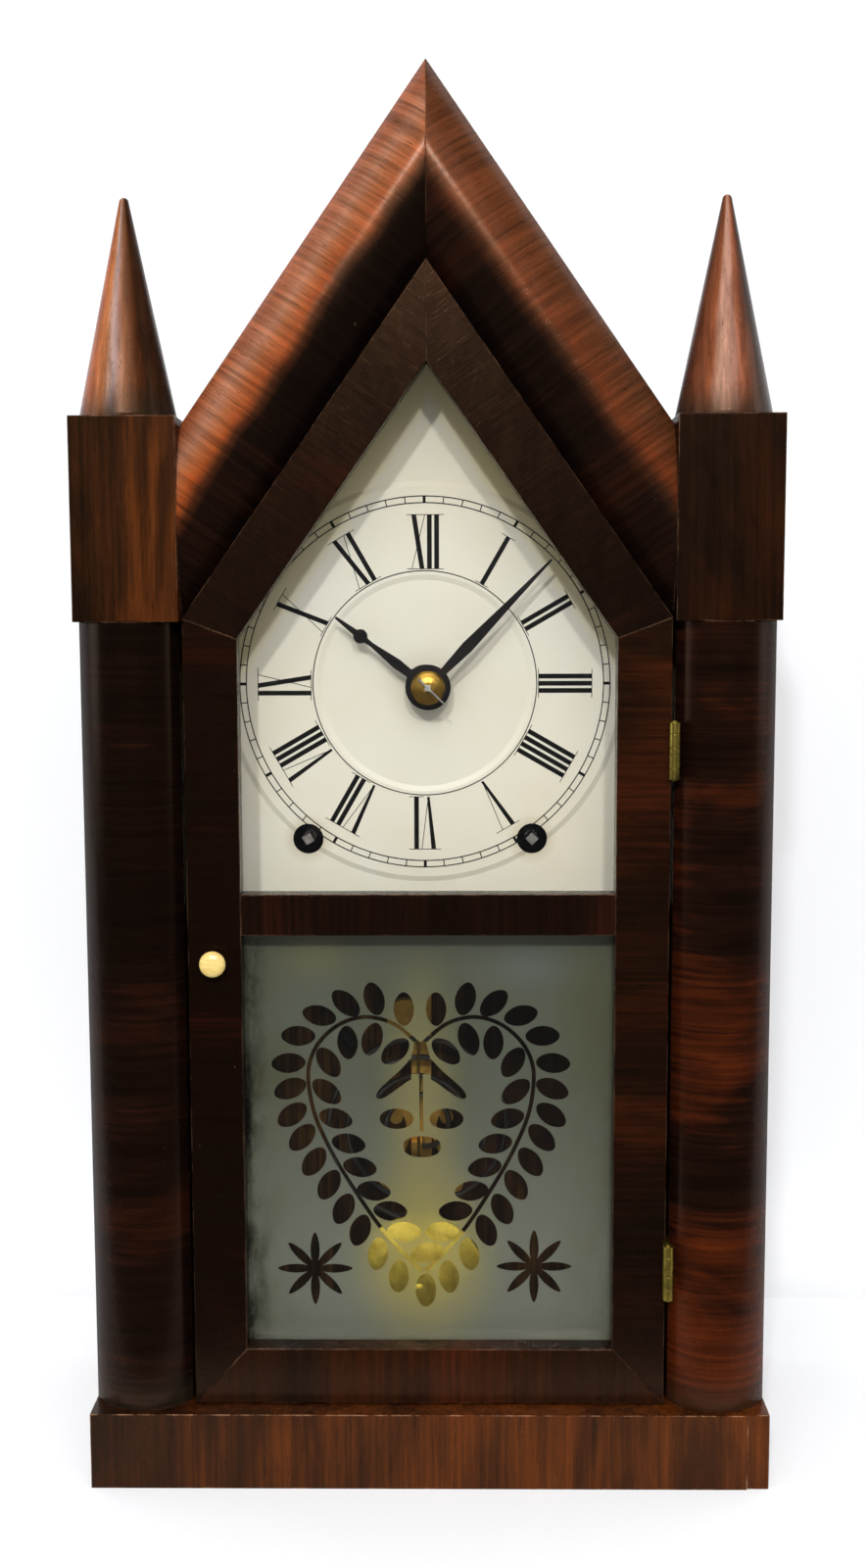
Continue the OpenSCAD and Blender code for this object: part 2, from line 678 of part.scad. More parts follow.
// Dial plate with its raised chapter ring and three holes
module dial_plate() color(cream) difference() {
    union() {
        slab(gable_pts(dial_half_w, dial_low_z, dial_apex_z), dial_y, dial_y + dial_t);
        facing([dial_cx, dial_cz], dial_y + eps) rotate_extrude($fn = 2 * fine)
            polygon([[ring_in_r - 2, 0], [ring_in_r, ring_rise], [ring_r, ring_rise], [ring_r + 2, 0]]);
    }
    facing([dial_cx, dial_cz], dial_y + 2) cylinder(h = 4, r = dial_hole_r);
    for (p = [time_main_p, strike_main_p]) on_arbor(p, dial_y + 2) cylinder(h = 4, r = wind_hole_r);
}

// Movement frame
module plate_window(x0, x1, z0, z1, y) {
    r = 3;
    box([x0 + r, y - 1, hub_z + z0], [x1 - r, y + plate_t + 1, hub_z + z1]);
    box([x0, y - 1, hub_z + z0 + r], [x1, y + plate_t + 1, hub_z + z1 - r]);
    for (x = [x0 + r, x1 - r], z = [z0 + r, z1 - r]) disc([x, z], y - 1, y + plate_t + 1, r);
}
module plate_blank(y) difference() {
    box([plate_x0, y, hub_z + plate_z0], [plate_x1, y + plate_t, hub_z + plate_z1]);
    plate_window(27, 49, -6, 36, y);
    plate_window(-55, -43, 6, 36, y);
    plate_window(-24, 6, -60, -14, y);
    for (p = [count_p, pin_p, warn_p, fly_p, time_second_p, third_p, hammer_p, lever_p])
        disc(p, y - 1, y + plate_t + 1, pivot_r + run_gap);
    for (p = posts) disc(p, y - 1, y + plate_t + 1, post_tenon_r);
}
module hammer_bearing(y) difference() {
    box([hammer_p[0] - 14, y, hub_z + hammer_p[1] - 3],
        [hammer_p[0] + 19, y + plate_t, hub_z + hammer_p[1] + 3]);
    disc(hammer_p, y - 1, y + plate_t + 1, pivot_r + run_gap);
}
bridge_y = plate_y - 6;
bridge_t = 0.8;
bridge_x = escape_r + 4;
module movement_front_plate() color(brass) {
    difference() {
        plate_blank(plate_y);
        disc(centre_p, plate_y - 1, inner_y + 1, arbor_r + run_gap);
        disc(escape_p, plate_y - 1, inner_y + 1, 1.6);
        for (p = [time_main_p, strike_main_p]) disc(p, plate_y - 1, inner_y + 1, wind_r + run_gap);
    }
    hammer_bearing(plate_y);
    // Bridge over the escape wheel
    difference() {
        on_arbor(escape_p, bridge_y + bridge_t) translate([-bridge_x - 1.5, -2.5, 0])
            cube([2 * bridge_x + 3, 5, bridge_t]);
        disc(escape_p, bridge_y - 1, bridge_y + bridge_t + 1, pivot_r + run_gap);
    }
    for (s = [-1, 1]) disc(escape_p + [s * bridge_x, 0], bridge_y + bridge_t - eps, plate_y + eps, 1.5);
    // Verge pin, minute wheel stud and suspension post with its slit
    disc(verge_p, plate_y - 5.4, plate_y + eps, 0.8);
    disc(minute_p, plate_y - 17, plate_y + eps, 1.1);
    difference() {
        disc(verge_p + [0, 6], rod_y - 2.2, plate_y + eps, 2.2);
        on_arbor(verge_p + [0, 6], rod_y + 1.6) translate([-0.4, -3, 0]) cube([0.8, 4.5, 5]);
    }
}
module movement_back_plate() color(brass) difference() {
    union() {
        difference() {
            plate_blank(back_plate_y);
            disc(centre_p, back_plate_y - 1, batten_y + 1, pivot_r + run_gap);
            disc(escape_p, back_plate_y - 1, batten_y + 1, pivot_r + run_gap);
            for (p = [time_main_p, strike_main_p]) disc(p, back_plate_y - 1, batten_y + 1, 1.5 + run_gap);
        }
        hammer_bearing(back_plate_y);
        // Posts riveted into the back plate, nutted in front of the front plate
        for (p = posts) {
            disc(p, inner_y, back_plate_y + plate_t, post_r);
            disc(p, plate_y, inner_y + eps, post_tenon_r - 0.05);
            on_arbor(p, plate_y) cylinder(h = 2, r = post_r, $fn = 6);
        }
        for (x = ear_xs, z = [plate_z1 - eps, plate_z0 - ear_h + eps])
            box([x - ear_w / 2, back_plate_y, hub_z + z], [x + ear_w / 2, batten_y, hub_z + z + ear_h]);
    }
    for (p = screw_ps) disc(p, back_plate_y - 1, batten_y + 1, screw_r + 0.2);
}
module movement_screws() color(steel) for (p = screw_ps) {
    disc(p, back_plate_y - 1.6, back_plate_y, 3);
    disc(p, back_plate_y - eps, batten_y + screw_l, screw_r);
}

// Mainspring: a flat strip wound outwards from the arbor, run up to a post and looped round it
spring_in_r = 5.8;
spring_out_r = 21.7;
spring_hub_r = 5;
function spiral(c, r0, r1, turns, step) =
    [for (i = [0 : turns * 360 / step])
        c + (r0 + (r1 - r0) * i * step / (turns * 360)) * [cos(i * step), sin(i * step)]];
// Outline of a strip of thickness t along a path
function strip_side(path, off) = [for (i = [0 : len(path) - 1])
    let (d = path[min(i + 1, len(path) - 1)] - path[max(i - 1, 0)])
    path[i] + off * [-d[1], d[0]] / norm(d)];
function strip(path, t) = let (left = strip_side(path, t / 2), right = strip_side(path, -t / 2))
    concat(left, [for (i = [len(right) - 1 : -1 : 0]) right[i]]);
module mainspring(p, post, side) {
    y0 = inner_y + spring_d;
    loop_r = post_r + 0.3 + spring_t / 2;
    c = [side * p[0], p[1]];
    q = [side * post[0], post[1]];
    path = concat(spiral(c, spring_in_r, spring_out_r, spring_turns, 20),
        [for (a = [0 : 20 : 300]) q + loop_r * [cos(a), sin(a)]]);
    on_arbor([0, 0], y0 + spring_h) mirror([side < 0 ? 1 : 0, 0, 0]) linear_extrude(spring_h)
        polygon(strip(path, spring_t));
}
module mainsprings() color(steel) {
    mainspring(time_main_p, time_post, 1);
    mainspring(strike_main_p, strike_post, -1);
}

// Going and striking barrels are open springs, so each winding arbor carries a hub and a ratchet
function ratchet_pts(r, ri, n) = [for (k = [0 : n - 1], q = [[ri, 0], [r, 0.28], [r, 0.42]])
    q[0] * [cos((k + q[1]) * 360 / n), sin((k + q[1]) * 360 / n)]];
ratchet_r = 8;
ratchet_in_r = 6.4;
wind_tip_y = dial_y - 1.5;
module winding_arbor(p, square_a) {
    disc(p, dial_y + 8, inner_y + spring_d - 1, wind_r);
    on_arbor(p, dial_y + 8 + eps) rotate(square_a)
        translate([-square_w / 2, -square_w / 2, 0]) cube([square_w, square_w, dial_y + 8 - wind_tip_y]);
    disc(p, inner_y + spring_d - 1 - eps, inner_y + spring_d + spring_h, spring_hub_r);
    disc(p, inner_y + spring_d + spring_h - eps, back_plate_y - 0.5, wind_r);
    disc(p, back_plate_y - 0.5 - eps, batten_y, 1.5);
    on_arbor(p, inner_y + ratchet_d + ratchet_t) linear_extrude(ratchet_t)
        polygon(ratchet_pts(ratchet_r, ratchet_in_r, ratchet_n));
}
module time_winding_arbor() color(steel) winding_arbor(time_main_p, 45);
module strike_winding_arbor() color(steel) winding_arbor(strike_main_p, 30);
// Main wheel, loose on the winding arbor, with the click's pin on its front
click_a = 75;
click_p = [ratchet_r + 2.6, -7.2];
click_pin_r = 0.9;
module at_click(p, y) on_arbor(p, y) rotate(click_a) children();
module main_wheel(p, to) {
    difference() {
        wheel_on(p, to, main_n, main_m, inner_y + main_d, main_t, 4, 14.6, 6, 3);
        disc(p, inner_y - 1, inner_y + main_d + main_t + 1, wind_r + run_gap);
    }
    at_click(p, inner_y + main_d + eps) translate(click_p) cylinder(h = main_d - ratchet_d, r = click_pin_r);
}
// Click, swung out of the ratchet's teeth about its pin
module click(p) at_click(p, inner_y + ratchet_d + ratchet_t) difference() {
    union() {
        translate(click_p) cylinder(h = ratchet_t, r = 1.9);
        linear_extrude(ratchet_t) polygon([[ratchet_r - 0.85, -0.35], [ratchet_r + 0.6, -0.15],
            [ratchet_r + 2.4, -2.2], click_p + [1.9, 0], click_p - [1.9, 0], [ratchet_r + 0.2, -1.9],
            [ratchet_r + 0.1, -1.24], [ratchet_r - 0.43, -0.72]]);
    }
    translate([click_p[0], click_p[1], -1]) cylinder(h = ratchet_t + 2, r = click_pin_r + run_gap);
}
module time_main_wheel() color(brass) main_wheel(time_main_p, time_second_p);
module time_click() color(steel) click(time_main_p);
module strike_main_wheel() color(brass) main_wheel(strike_main_p, count_p);
module strike_click() color(steel) click(strike_main_p);
module drive_lantern(p, from) lantern_on(p, from, drive_n, main_m, inner_y + main_d - 1.6,
    inner_y + main_d + main_t + 1.6, 1.4);

module time_second_wheel() color(brass) {
    train_arbor(time_second_p, 1.4);
    drive_lantern(time_second_p, time_main_p);
    wheel_on(time_second_p, centre_p, second_n, second_m, inner_y + second_d, wheel_t, 5, 5, 3.5, 2.6);
}
module centre_arbor() color(brass) {
    disc(centre_p, minute_y + hand_t + 0.6, back_plate_y - 0.5, arbor_r);
    disc(centre_p, back_plate_y - 0.5 - eps, batten_y, pivot_r);
    difference() {
        on_arbor(centre_p, minute_y + hand_t + 0.6 + eps) translate([-arbor_sq / 2, -arbor_sq / 2, 0])
            cube([arbor_sq, arbor_sq, minute_y + hand_t + 0.6 - arbor_tip_y]);
        taper_pin(0.03);
    }
    lantern_on(centre_p, time_second_p, drive_n, second_m, inner_y + second_d - 1.7,
        inner_y + second_d + wheel_t + 1.7, arbor_r);
    wheel_on(centre_p, third_p, centre_n, fine_m, inner_y + centre_d, wheel_t, 4, 4, 2.8, 2);
    lantern_on(centre_p, minute_p, cannon_n, dial_m, motion_y - 1.8, motion_y + 2.8, arbor_r);
}
module third_wheel() color(brass) {
    train_arbor(third_p, 1);
    lantern_on(third_p, centre_p, train_n, fine_m, inner_y + centre_d - 1.6,
        inner_y + centre_d + wheel_t + 1.6, 1);
    wheel_on(third_p, escape_p, third_n, fine_m, inner_y + third_d, wheel_t, 4, 3.6, 2.6, 2);
}
// Escape wheel: saw teeth in front of the plate, set so that each pallet can drop into a space
escape_y = plate_y - 3.8;
escape_t = 0.9;
module escape_wheel() color(brass) {
    p = escape_p;
    pitch = 360 / escape_n;
    points = [for (k = [0 : escape_n - 1], q = [[escape_r - 2.6, -0.16], [escape_r, -0.08], [escape_r, 0.06],
        [escape_r - 2.6, 0.5]]) let (a = 45 + (k + 0.72 + q[1]) * pitch) q[0] * [cos(a), sin(a)]];
    disc(p, bridge_y, escape_y, pivot_r);
    disc(p, escape_y - 0.6, back_plate_y - 0.5, 1);
    disc(p, back_plate_y - 0.5 - eps, batten_y, pivot_r);
    lantern_on(p, third_p, train_n, fine_m, inner_y + third_d - 1.6, inner_y + third_d + wheel_t + 1.6, 1);
    on_arbor(p, escape_y + escape_t) difference() {
        linear_extrude(escape_t) polygon(points);
        difference() {
            translate([0, 0, -1]) cylinder(h = 3, r = escape_r - 4.4);
            translate([0, 0, -2]) cylinder(h = 5, r = 2.6);
            for (i = [0 : 3]) rotate(i * 90 + 20) translate([0, -0.8, -2]) cube([escape_r, 1.6, 5]);
        }
    }
}
// Verge: a bent strip with two pallets on a collar, and the crutch wire down to its loop
verge_t = 3.2;
module verge() color(steel) {
    half = escape_r / sqrt(2);
    tip = 0.15;
    y1 = plate_y - 1.4;
    on_arbor(verge_p, y1) difference() {
        union() {
            cylinder(h = verge_t, r = 1.7);
            linear_extrude(verge_t)
                polygon([[-half - tip, -half + tip], [-half - tip + 0.5, -half + tip + 0.5],
                [-4.2, -1.6], [4.2, -1.6], [half + tip - 0.5, -half + tip + 0.5], [half + tip, -half + tip],
                [half + 1.6, -half + 1.8], [5.2, 0.6], [0, 1.5], [-5.2, 0.6], [-half - 1.6, -half + 1.8]]);
        }
        translate([0, 0, -1]) cylinder(h = verge_t + 2, r = 0.8 + run_gap);
    }
    x = verge_p[0] + 2.3;
    z = hub_z + verge_p[1];
    wire([[x, y1 - verge_t + 0.6, z + 0.3], [x, rod_y, z - 6], [x, rod_y, z - 26]], 0.5);
    translate([verge_p[0], rod_y, z - 26.6]) difference() {
        cylinder(h = 1.2, r = 2.9);
        translate([0, 0, -1]) cylinder(h = 4, r = 1.7);
    }
}
module pendulum_rod() color(steel) {
    z = hub_z + verge_p[1];
    x = verge_p[0];
    box([x - 0.09, rod_y - 1.2, z - 12], [x + 0.09, rod_y + 1.2, z + 4.6]);
    translate([x, rod_y, z - 14]) cylinder(h = 3, r = 1.1);
    translate([x, rod_y, bob_z + bob_r - 3]) cylinder(h = z - 13 - bob_z - bob_r + 3, r = rod_r);
    // Rating screw through the bob's top and its nut below
    translate([x, rod_y, bob_z + bob_r - 16]) cylinder(h = 14, r = 1.1);
}
module pendulum_bob() color(brass) difference() {
    facing([verge_p[0], bob_z], rod_y) rotate_extrude($fn = fine) bob_half();
    translate([verge_p[0], rod_y, bob_z + bob_r - 16.3]) cylinder(h = 40, r = 1.2);
}
module bob_half() {
    r = (bob_r * bob_r + pow(bob_t / 2 - 0.5, 2)) / (bob_t - 1);
    for (s = [-1, 1]) intersection() {
        translate([0, s * (bob_t / 2 - r)]) circle(r, $fn = 4 * fine);
        translate([0, s > 0 ? -0.5 : -bob_t]) square([bob_r, bob_t + 0.5]);
    }
}

// Motion work and hands
module minute_wheel() color(brass) difference() {
    union() {
        wheel_on(minute_p, centre_p, minute_n, dial_m, motion_y, wheel_t, 3, 3.2, 2.4, 1.8);
        lantern_on(minute_p, centre_p, dial_pinion_n, dial_m, motion_y - 5, motion_y + eps, 2);
    }
    disc(minute_p, motion_y - 9, motion_y + wheel_t + 1, 1.1 + run_gap);
}
hour_wheel_y = motion_y - 3.4;
module hour_wheel() color(brass) difference() {
    union() {
        wheel_on(centre_p, minute_p, hour_n, dial_m, hour_wheel_y, wheel_t, 3, 4.4, 2.4, 1.8);
        disc(centre_p, hour_y - 1, hour_wheel_y + wheel_t, pipe_r);
    }
    disc(centre_p, hour_y - 3, hour_wheel_y + wheel_t + 1, arbor_r + run_gap);
}
// Half widths along a hand, as [share of length, half width]
hour_shape = [[0, 1.1], [0.34, 1.9], [0.62, 0.75]];
minute_shape = [[0, 0.8], [0.32, 2.2], [0.62, 1.3], [1, 0.35]];
module blade(l, shape) polygon(concat([for (q = shape) [-q[1], q[0] * l]],
    [for (i = [len(shape) - 1 : -1 : 0]) [shape[i][1], shape[i][0] * l]]));
module hour_hand() color(blued) on_arbor(centre_p, hour_y + hand_t) rotate(-hour_a) difference() {
    union() {
        linear_extrude(hand_t) blade(hour_l, hour_shape);
        translate([0, hour_l * 0.73, 0]) cylinder(h = hand_t, r = 2.6);
        linear_extrude(hand_t) polygon([[-0.75, hour_l * 0.6], [0.75, hour_l * 0.6], [1.3, hour_l * 0.74],
            [0.45, hour_l], [-0.45, hour_l], [-1.3, hour_l * 0.74]]);
        translate([0, 0, -2.4]) cylinder(h = 2.5, r = 4);
        cylinder(h = hand_t, r = hour_hub_r);
        cylinder(h = hand_t + 0.7, r = 5);
    }
    translate([0, 0, -3]) cylinder(h = 8, r = pipe_r);
}
module minute_hand() color(blued) on_arbor(centre_p, minute_y + hand_t) rotate(-minute_a) difference() {
    union() {
        linear_extrude(hand_t) blade(minute_l, minute_shape);
        cylinder(h = hand_t, r = minute_hub_r);
    }
    rotate(minute_a) translate([-arbor_sq / 2, -arbor_sq / 2, -1]) cube([arbor_sq, arbor_sq, 4]);
}
// Domed washer over the minute hand, and the taper pin through the arbor
pin_y = washer_y - 1.1;
module taper_pin(gap) on_arbor(centre_p, pin_y) rotate(-44) translate([-pin_l * 0.37, 0, 0])
    rotate([0, 90, 0]) cylinder(h = pin_l, r1 = 0.5 + gap, r2 = 0.3 + gap, $fn = 24);
module hand_washer() {
    rim = washer_r;
    dome = minute_y - washer_y;
    color(brass) on_arbor(centre_p, minute_y) difference() {
        rotate_extrude($fn = fine) difference() {
            polygon([[0, 0], [rim, 0], [rim, 0.5], [rim * 0.86, dome * 0.5], [rim * 0.62, dome * 0.8],
                [rim * 0.34, dome], [0, dome]]);
            polygon([[0, -1], [rim - 0.8, -1], [rim - 0.9, 0], [rim * 0.7, dome * 0.35],
                [rim * 0.34, dome - 0.5],
                [0, dome - 0.5]]);
        }
        translate([-arbor_sq / 2 - 0.05, -arbor_sq / 2 - 0.05, -2]) cube([arbor_sq + 0.1, arbor_sq + 0.1, 6]);
    }
    color(steel) taper_pin(0);
}

// Strike train
count_r = 20;
notch_d = 3;
notch_a = 3;
blade_a = 180;
step_a = 360 / 90;
// Rest after the last full hour on the dial
shown_rest = let (h = max(1, floor(hour_a / 30))) h * (h + 1) / 2 + h - 1;
// Blows counted before each rest of the lever: the hour, then one for the half hour
function rests() = [for (h = [1 : 12]) each [h * (h + 1) / 2 + h - 1, h * (h + 1) / 2 + h]];
module strike_count_wheel() color(brass) {
    p = count_p;
    y0 = inner_y + count_d;
    train_arbor(p, 1.4);
    drive_lantern(p, strike_main_p);
    wheel_on(p, pin_p, second_n, strike_m, inner_y + second_d, wheel_t, 4, 5, 3.2, 2.4);
    difference() {
        disc(p, y0, y0 + wheel_t, count_r);
        for (u = rests()) on_arbor(p, y0 + wheel_t + 1) rotate(blade_a - (u - shown_rest) * step_a)
            linear_extrude(wheel_t + 2) polygon([for (q = [[-1, 0], [1, 0], [1, 1], [-1, 1]])
                (count_r - notch_d + q[1] * (notch_d + 2)) * [cos(q[0] * notch_a), sin(q[0] * notch_a)]]);
        for (i = [0 : 3]) disc(along(p, 11, i * 90 + 45), y0 - 1, y0 + wheel_t + 1, 4);
    }
}
module strike_pin_wheel() color(brass) {
    p = pin_p;
    y0 = inner_y + pin_wheel_d;
    train_arbor(p, 1.2);
    lantern_on(p, count_p, pin_pinion_n, strike_m, inner_y + second_d - 1.6,
        inner_y + second_d + wheel_t + 1.6, 1.2);
    wheel_on(p, warn_p, pin_n, fine_m, y0, wheel_t, 0, 3, 2, 2);
    for (i = [0 : strike_pins - 1])
        disc(along(p, 12, i * 360 / strike_pins), y0 + wheel_t - eps, y0 + wheel_t + 2.8, 0.6);
}
module strike_warning_wheel() color(brass) {
    p = warn_p;
    y0 = inner_y + warn_d;
    train_arbor(p, 1);
    lantern_on(p, pin_p, train_n, fine_m, inner_y + pin_wheel_d - 1.2,
        inner_y + pin_wheel_d + wheel_t + 0.8, 1);
    wheel_on(p, fly_p, warn_n, warn_m, y0, wheel_t, 3, 3, 2, 1.8);
    disc(along(p, 10.6, 200), y0 + wheel_t - eps, y0 + wheel_t + 2, 0.5);
}
module strike_fly() color(brass) {
    p = fly_p;
    vane = 10;
    train_arbor(p, 0.9);
    lantern_on(p, warn_p, train_n, warn_m, inner_y + warn_d - 1.4, inner_y + warn_d + wheel_t + 1.4, 0.9);
    on_arbor(p, inner_y + 30) rotate(25) translate([-vane, -0.25, 0]) cube([2 * vane, 0.5, 16]);
    disc(p, inner_y + 13.4, inner_y + 30.6, 1.4);
}
// Hammer: arbor, tail beside the pins, wire stem and turned head beside the gong
module hammer() color(steel) {
    z = hub_z + hammer_p[1];
    tail_y = inner_y + pin_wheel_d + wheel_t + 1.6;
    tail = along(pin_p, 13, heading(pin_p, hammer_p));
    head = [gong_x + (gong_r + 5.4) * cos(130), hammer_y, gong_z + (gong_r + 5.4) * sin(130)];
    train_arbor(hammer_p, 1.1);
    rod([hammer_p[0], tail_y, z], [tail[0], tail_y, hub_z + tail[1]], 0.5);
    wire([[hammer_p[0], hammer_y - 4, z], [hammer_p[0], hammer_y - 4, z - 4],
        [hammer_p[0] - 0.6, hammer_y, z - 12],
        [hammer_p[0] - 2, hammer_y, z - 44], head], 0.8);
    translate(head) rotate([0, -40, 0]) translate([0, 0, -3]) cylinder(h = 7, r = 3);
}
// Count lever: its blade hangs beside the count wheel's rim, clear of the notches
module count_lever() color(steel) {
    p = lever_p;
    y0 = inner_y + count_d;
    tip = [count_p[0] - count_r - 0.4, count_p[1]];
    train_arbor(p, 1);
    disc(p, y0 - 0.4, y0 + wheel_t + 0.4, 2);
    on_arbor([0, 0], y0 + wheel_t - 0.1) linear_extrude(wheel_t - 0.2) polygon([p + [-1.2, 0], p + [1.2, 0],
        tip + [-1.6, 3.4], tip + [0, 0.5], tip + [0, -0.5], tip + [-3.4, -0.7]]);
}

// Gong: a coil of steel wire wound flat, its inner end held in the boss of a cast stand
function gong_path() = [for (i = [0 : gong_turns * 24])
    let (a = i * 15, r = gong_in_r + (gong_r - gong_wire_r - gong_in_r) * i / (gong_turns * 24))
    [gong_x + r * cos(a - 90), gong_z + r * sin(a - 90), a, r]];
module gong_coil() color(steel) {
    path = gong_path();
    n = 6;
    gaps = [for (i = [0 : len(path) - 13], j = [i + 12 : len(path) - 1])
        norm([path[i][0] - path[j][0], path[i][1] - path[j][1]]) - 2 * gong_wire_r];
    echo("least gap between the turns of the gong in mm", min(gaps));
    ring = [for (q = path, k = [0 : n - 1])
        let (w = gong_wire_r * cos(k * 360 / n), v = gong_wire_r * sin(k * 360 / n))
        [q[0] + w * cos(q[2] - 90), gong_y + v, q[1] + w * sin(q[2] - 90)]];
    last = len(path) - 1;
    faces = concat([for (i = [0 : last - 1], k = [0 : n - 1])
        [i * n + k, i * n + (k + 1) % n, (i + 1) * n + (k + 1) % n, (i + 1) * n + k]],
        [[for (k = [n - 1 : -1 : 0]) k]], [[for (k = [0 : n - 1]) last * n + k]]);
    polyhedron(ring, faces);
}
post_x = gong_x - 0.4;
post_foot_z = gong_z - 46;
// A scroll's centre line from its upper ball to its lower one:
// out from the post's side, up from the gong's centre
scroll_pts = [[6.4, 0.6], [5.8, 2], [4, 2.7], [2, 1.8], [0.8, -0.8], [0.3, -3.6], [1, -6.6], [2.7, -9],
    [4.4, -13.6], [7.2, -18.4], [10.4, -22.8], [11.8, -27.2], [10.4, -30.9], [7.2, -32.2],
    [4.7, -30.2], [4.8, -27.4]];
// Smooth curve through the points
function curve(p, n) = let (q = concat([p[0]], p, [p[len(p) - 1]]))
    concat([for (i = [1 : len(p) - 1], k = [0 : n - 1])
    let (t = k / n, a = q[i - 1], b = q[i], c = q[i + 1], d = q[i + 2])
    0.5 * (2 * b + (c - a) * t + (2 * a - 5 * b + 4 * c - d) * t * t + (3 * b - 3 * c + d - a) * t * t * t)],
    [p[len(p) - 1]]);
module gong_stand() color(gilt) {
    y1 = inner_back_y;
    k = scroll_h / 37;
    // Post, its fixing eye and its foot
    box([post_x - stand_w / 2, y1 - 4.4, post_foot_z], [post_x + stand_w / 2, y1, gong_z + stand_rise]);
    facing([post_x - stand_w / 2 - 2, gong_z + 43], y1) cylinder(h = 5, r = stand_eye_r);
    facing([post_x, post_foot_z], y1) cylinder(h = 5, r = stand_w);
    // Boss that holds the gong's inner end
    box([gong_x - 4.4, gong_y - 2.5, gong_z - gong_in_r - 2.4], [gong_x, y1, gong_z - gong_in_r + 2.6]);
    for (s = [-1, 1]) {
        path = [for (q = curve(scroll_pts, 3)) [post_x + s * (stand_w / 2 + k * q[0]), gong_z + k * q[1]]];
        slab(strip(path, scroll_t), y1 - 3.8, y1);
        for (q = [path[0], path[len(path) - 1]]) facing(q, y1) cylinder(h = 5, r = scroll_t * 0.78);
    }
}

plinth_front();
plinth_sides();
bottom_board();
case_sides();
front_stiles();
pillar_left();
pillar_right();
cap_block_left();
cap_block_right();
steeple_left();
steeple_right();
roof_boards();
gable_moulding_left();
gable_moulding_right();
back_board();
mounting_battens();
dial_plate();
movement_screws();
gong_stand();
gong_coil();
hinge_case_leaves();
hinge_door_leaves();
door_stile_left();
door_stile_right();
door_bottom_rail();
door_middle_rail();
door_gable_rail_left();
door_gable_rail_right();
upper_glass();
lower_glass();
glazing_strips();
door_knob();
latch_hook();
movement_front_plate();
movement_back_plate();
mainsprings();
time_winding_arbor();
time_main_wheel();
time_click();
time_second_wheel();
centre_arbor();
third_wheel();
escape_wheel();
verge();
pendulum_rod();
pendulum_bob();
minute_wheel();
hour_wheel();
hour_hand();
minute_hand();
hand_washer();
strike_winding_arbor();
strike_main_wheel();
strike_click();
strike_count_wheel();
strike_pin_wheel();
strike_warning_wheel();
strike_fly();
hammer();
count_lever();
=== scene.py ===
from math import cos, hypot, pi, radians, sin

import bmesh
import bpy
from mathutils import Matrix, Vector

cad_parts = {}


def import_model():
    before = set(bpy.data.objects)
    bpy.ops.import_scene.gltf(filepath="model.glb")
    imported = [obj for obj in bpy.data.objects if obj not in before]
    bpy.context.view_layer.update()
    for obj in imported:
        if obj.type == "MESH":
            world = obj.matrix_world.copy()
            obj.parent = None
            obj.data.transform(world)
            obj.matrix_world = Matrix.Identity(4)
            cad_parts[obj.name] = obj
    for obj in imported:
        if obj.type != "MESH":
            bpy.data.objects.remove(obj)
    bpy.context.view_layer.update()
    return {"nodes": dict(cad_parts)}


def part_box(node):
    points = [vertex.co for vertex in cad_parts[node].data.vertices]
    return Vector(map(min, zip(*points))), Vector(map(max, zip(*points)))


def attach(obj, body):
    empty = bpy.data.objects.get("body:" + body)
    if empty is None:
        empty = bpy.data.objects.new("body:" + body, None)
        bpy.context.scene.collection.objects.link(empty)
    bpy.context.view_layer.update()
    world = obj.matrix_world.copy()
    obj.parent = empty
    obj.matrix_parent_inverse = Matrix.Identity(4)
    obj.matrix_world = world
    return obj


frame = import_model()
nodes = frame["nodes"]
MM = 0.001
WHITE = (1, 1, 1, 1)


def link(o):
    bpy.context.scene.collection.objects.link(o)
    return o


# ---------------------------------------------------------------- camera
# Fitted to edges of the photograph, with the clock 508 mm high. The eye is in millimetres
TILT, YAW, ROLL = radians(5.74), radians(-0.65), radians(-0.16)
EYE = (8.22, -597.65, 314.05)
SENSOR, FOCAL = 36, 35.898


def look():
    fwd = Vector((sin(YAW) * cos(TILT), cos(YAW) * cos(TILT), -sin(TILT)))
    right = Vector((cos(YAW), -sin(YAW), 0))
    up = right.cross(fwd)
    rolled_right = right * cos(ROLL) + up * sin(ROLL)
    rolled_up = -right * sin(ROLL) + up * cos(ROLL)
    data = bpy.data.cameras.new("camera")
    data.sensor_fit = "VERTICAL"
    data.sensor_height = SENSOR
    data.lens = FOCAL
    data.clip_start = 0.02
    data.clip_end = 50
    cam = link(bpy.data.objects.new("camera", data))
    turned = Matrix((rolled_right, rolled_up, -fwd)).transposed().to_4x4()
    cam.matrix_world = Matrix.Translation(Vector(EYE) * MM) @ turned
    bpy.context.scene.camera = cam


look()


# ---------------------------------------------------------------- material building
def rgb(r, g, b):
    """Linear colour from display values 0-255."""

    def lin(c):
        c /= 255
        return c / 12.92 if c <= 0.04045 else ((c + 0.055) / 1.055) ** 2.4

    return (lin(r), lin(g), lin(b), 1.0)


def stops(*rows):
    """Stops of a ramp from rows of position and display values."""
    return [(pos, rgb(*tone)) for pos, *tone in rows]


def scaled(color, k, lift=0.0):
    return tuple(min(1, x * k + lift) for x in color[:3]) + (1,)


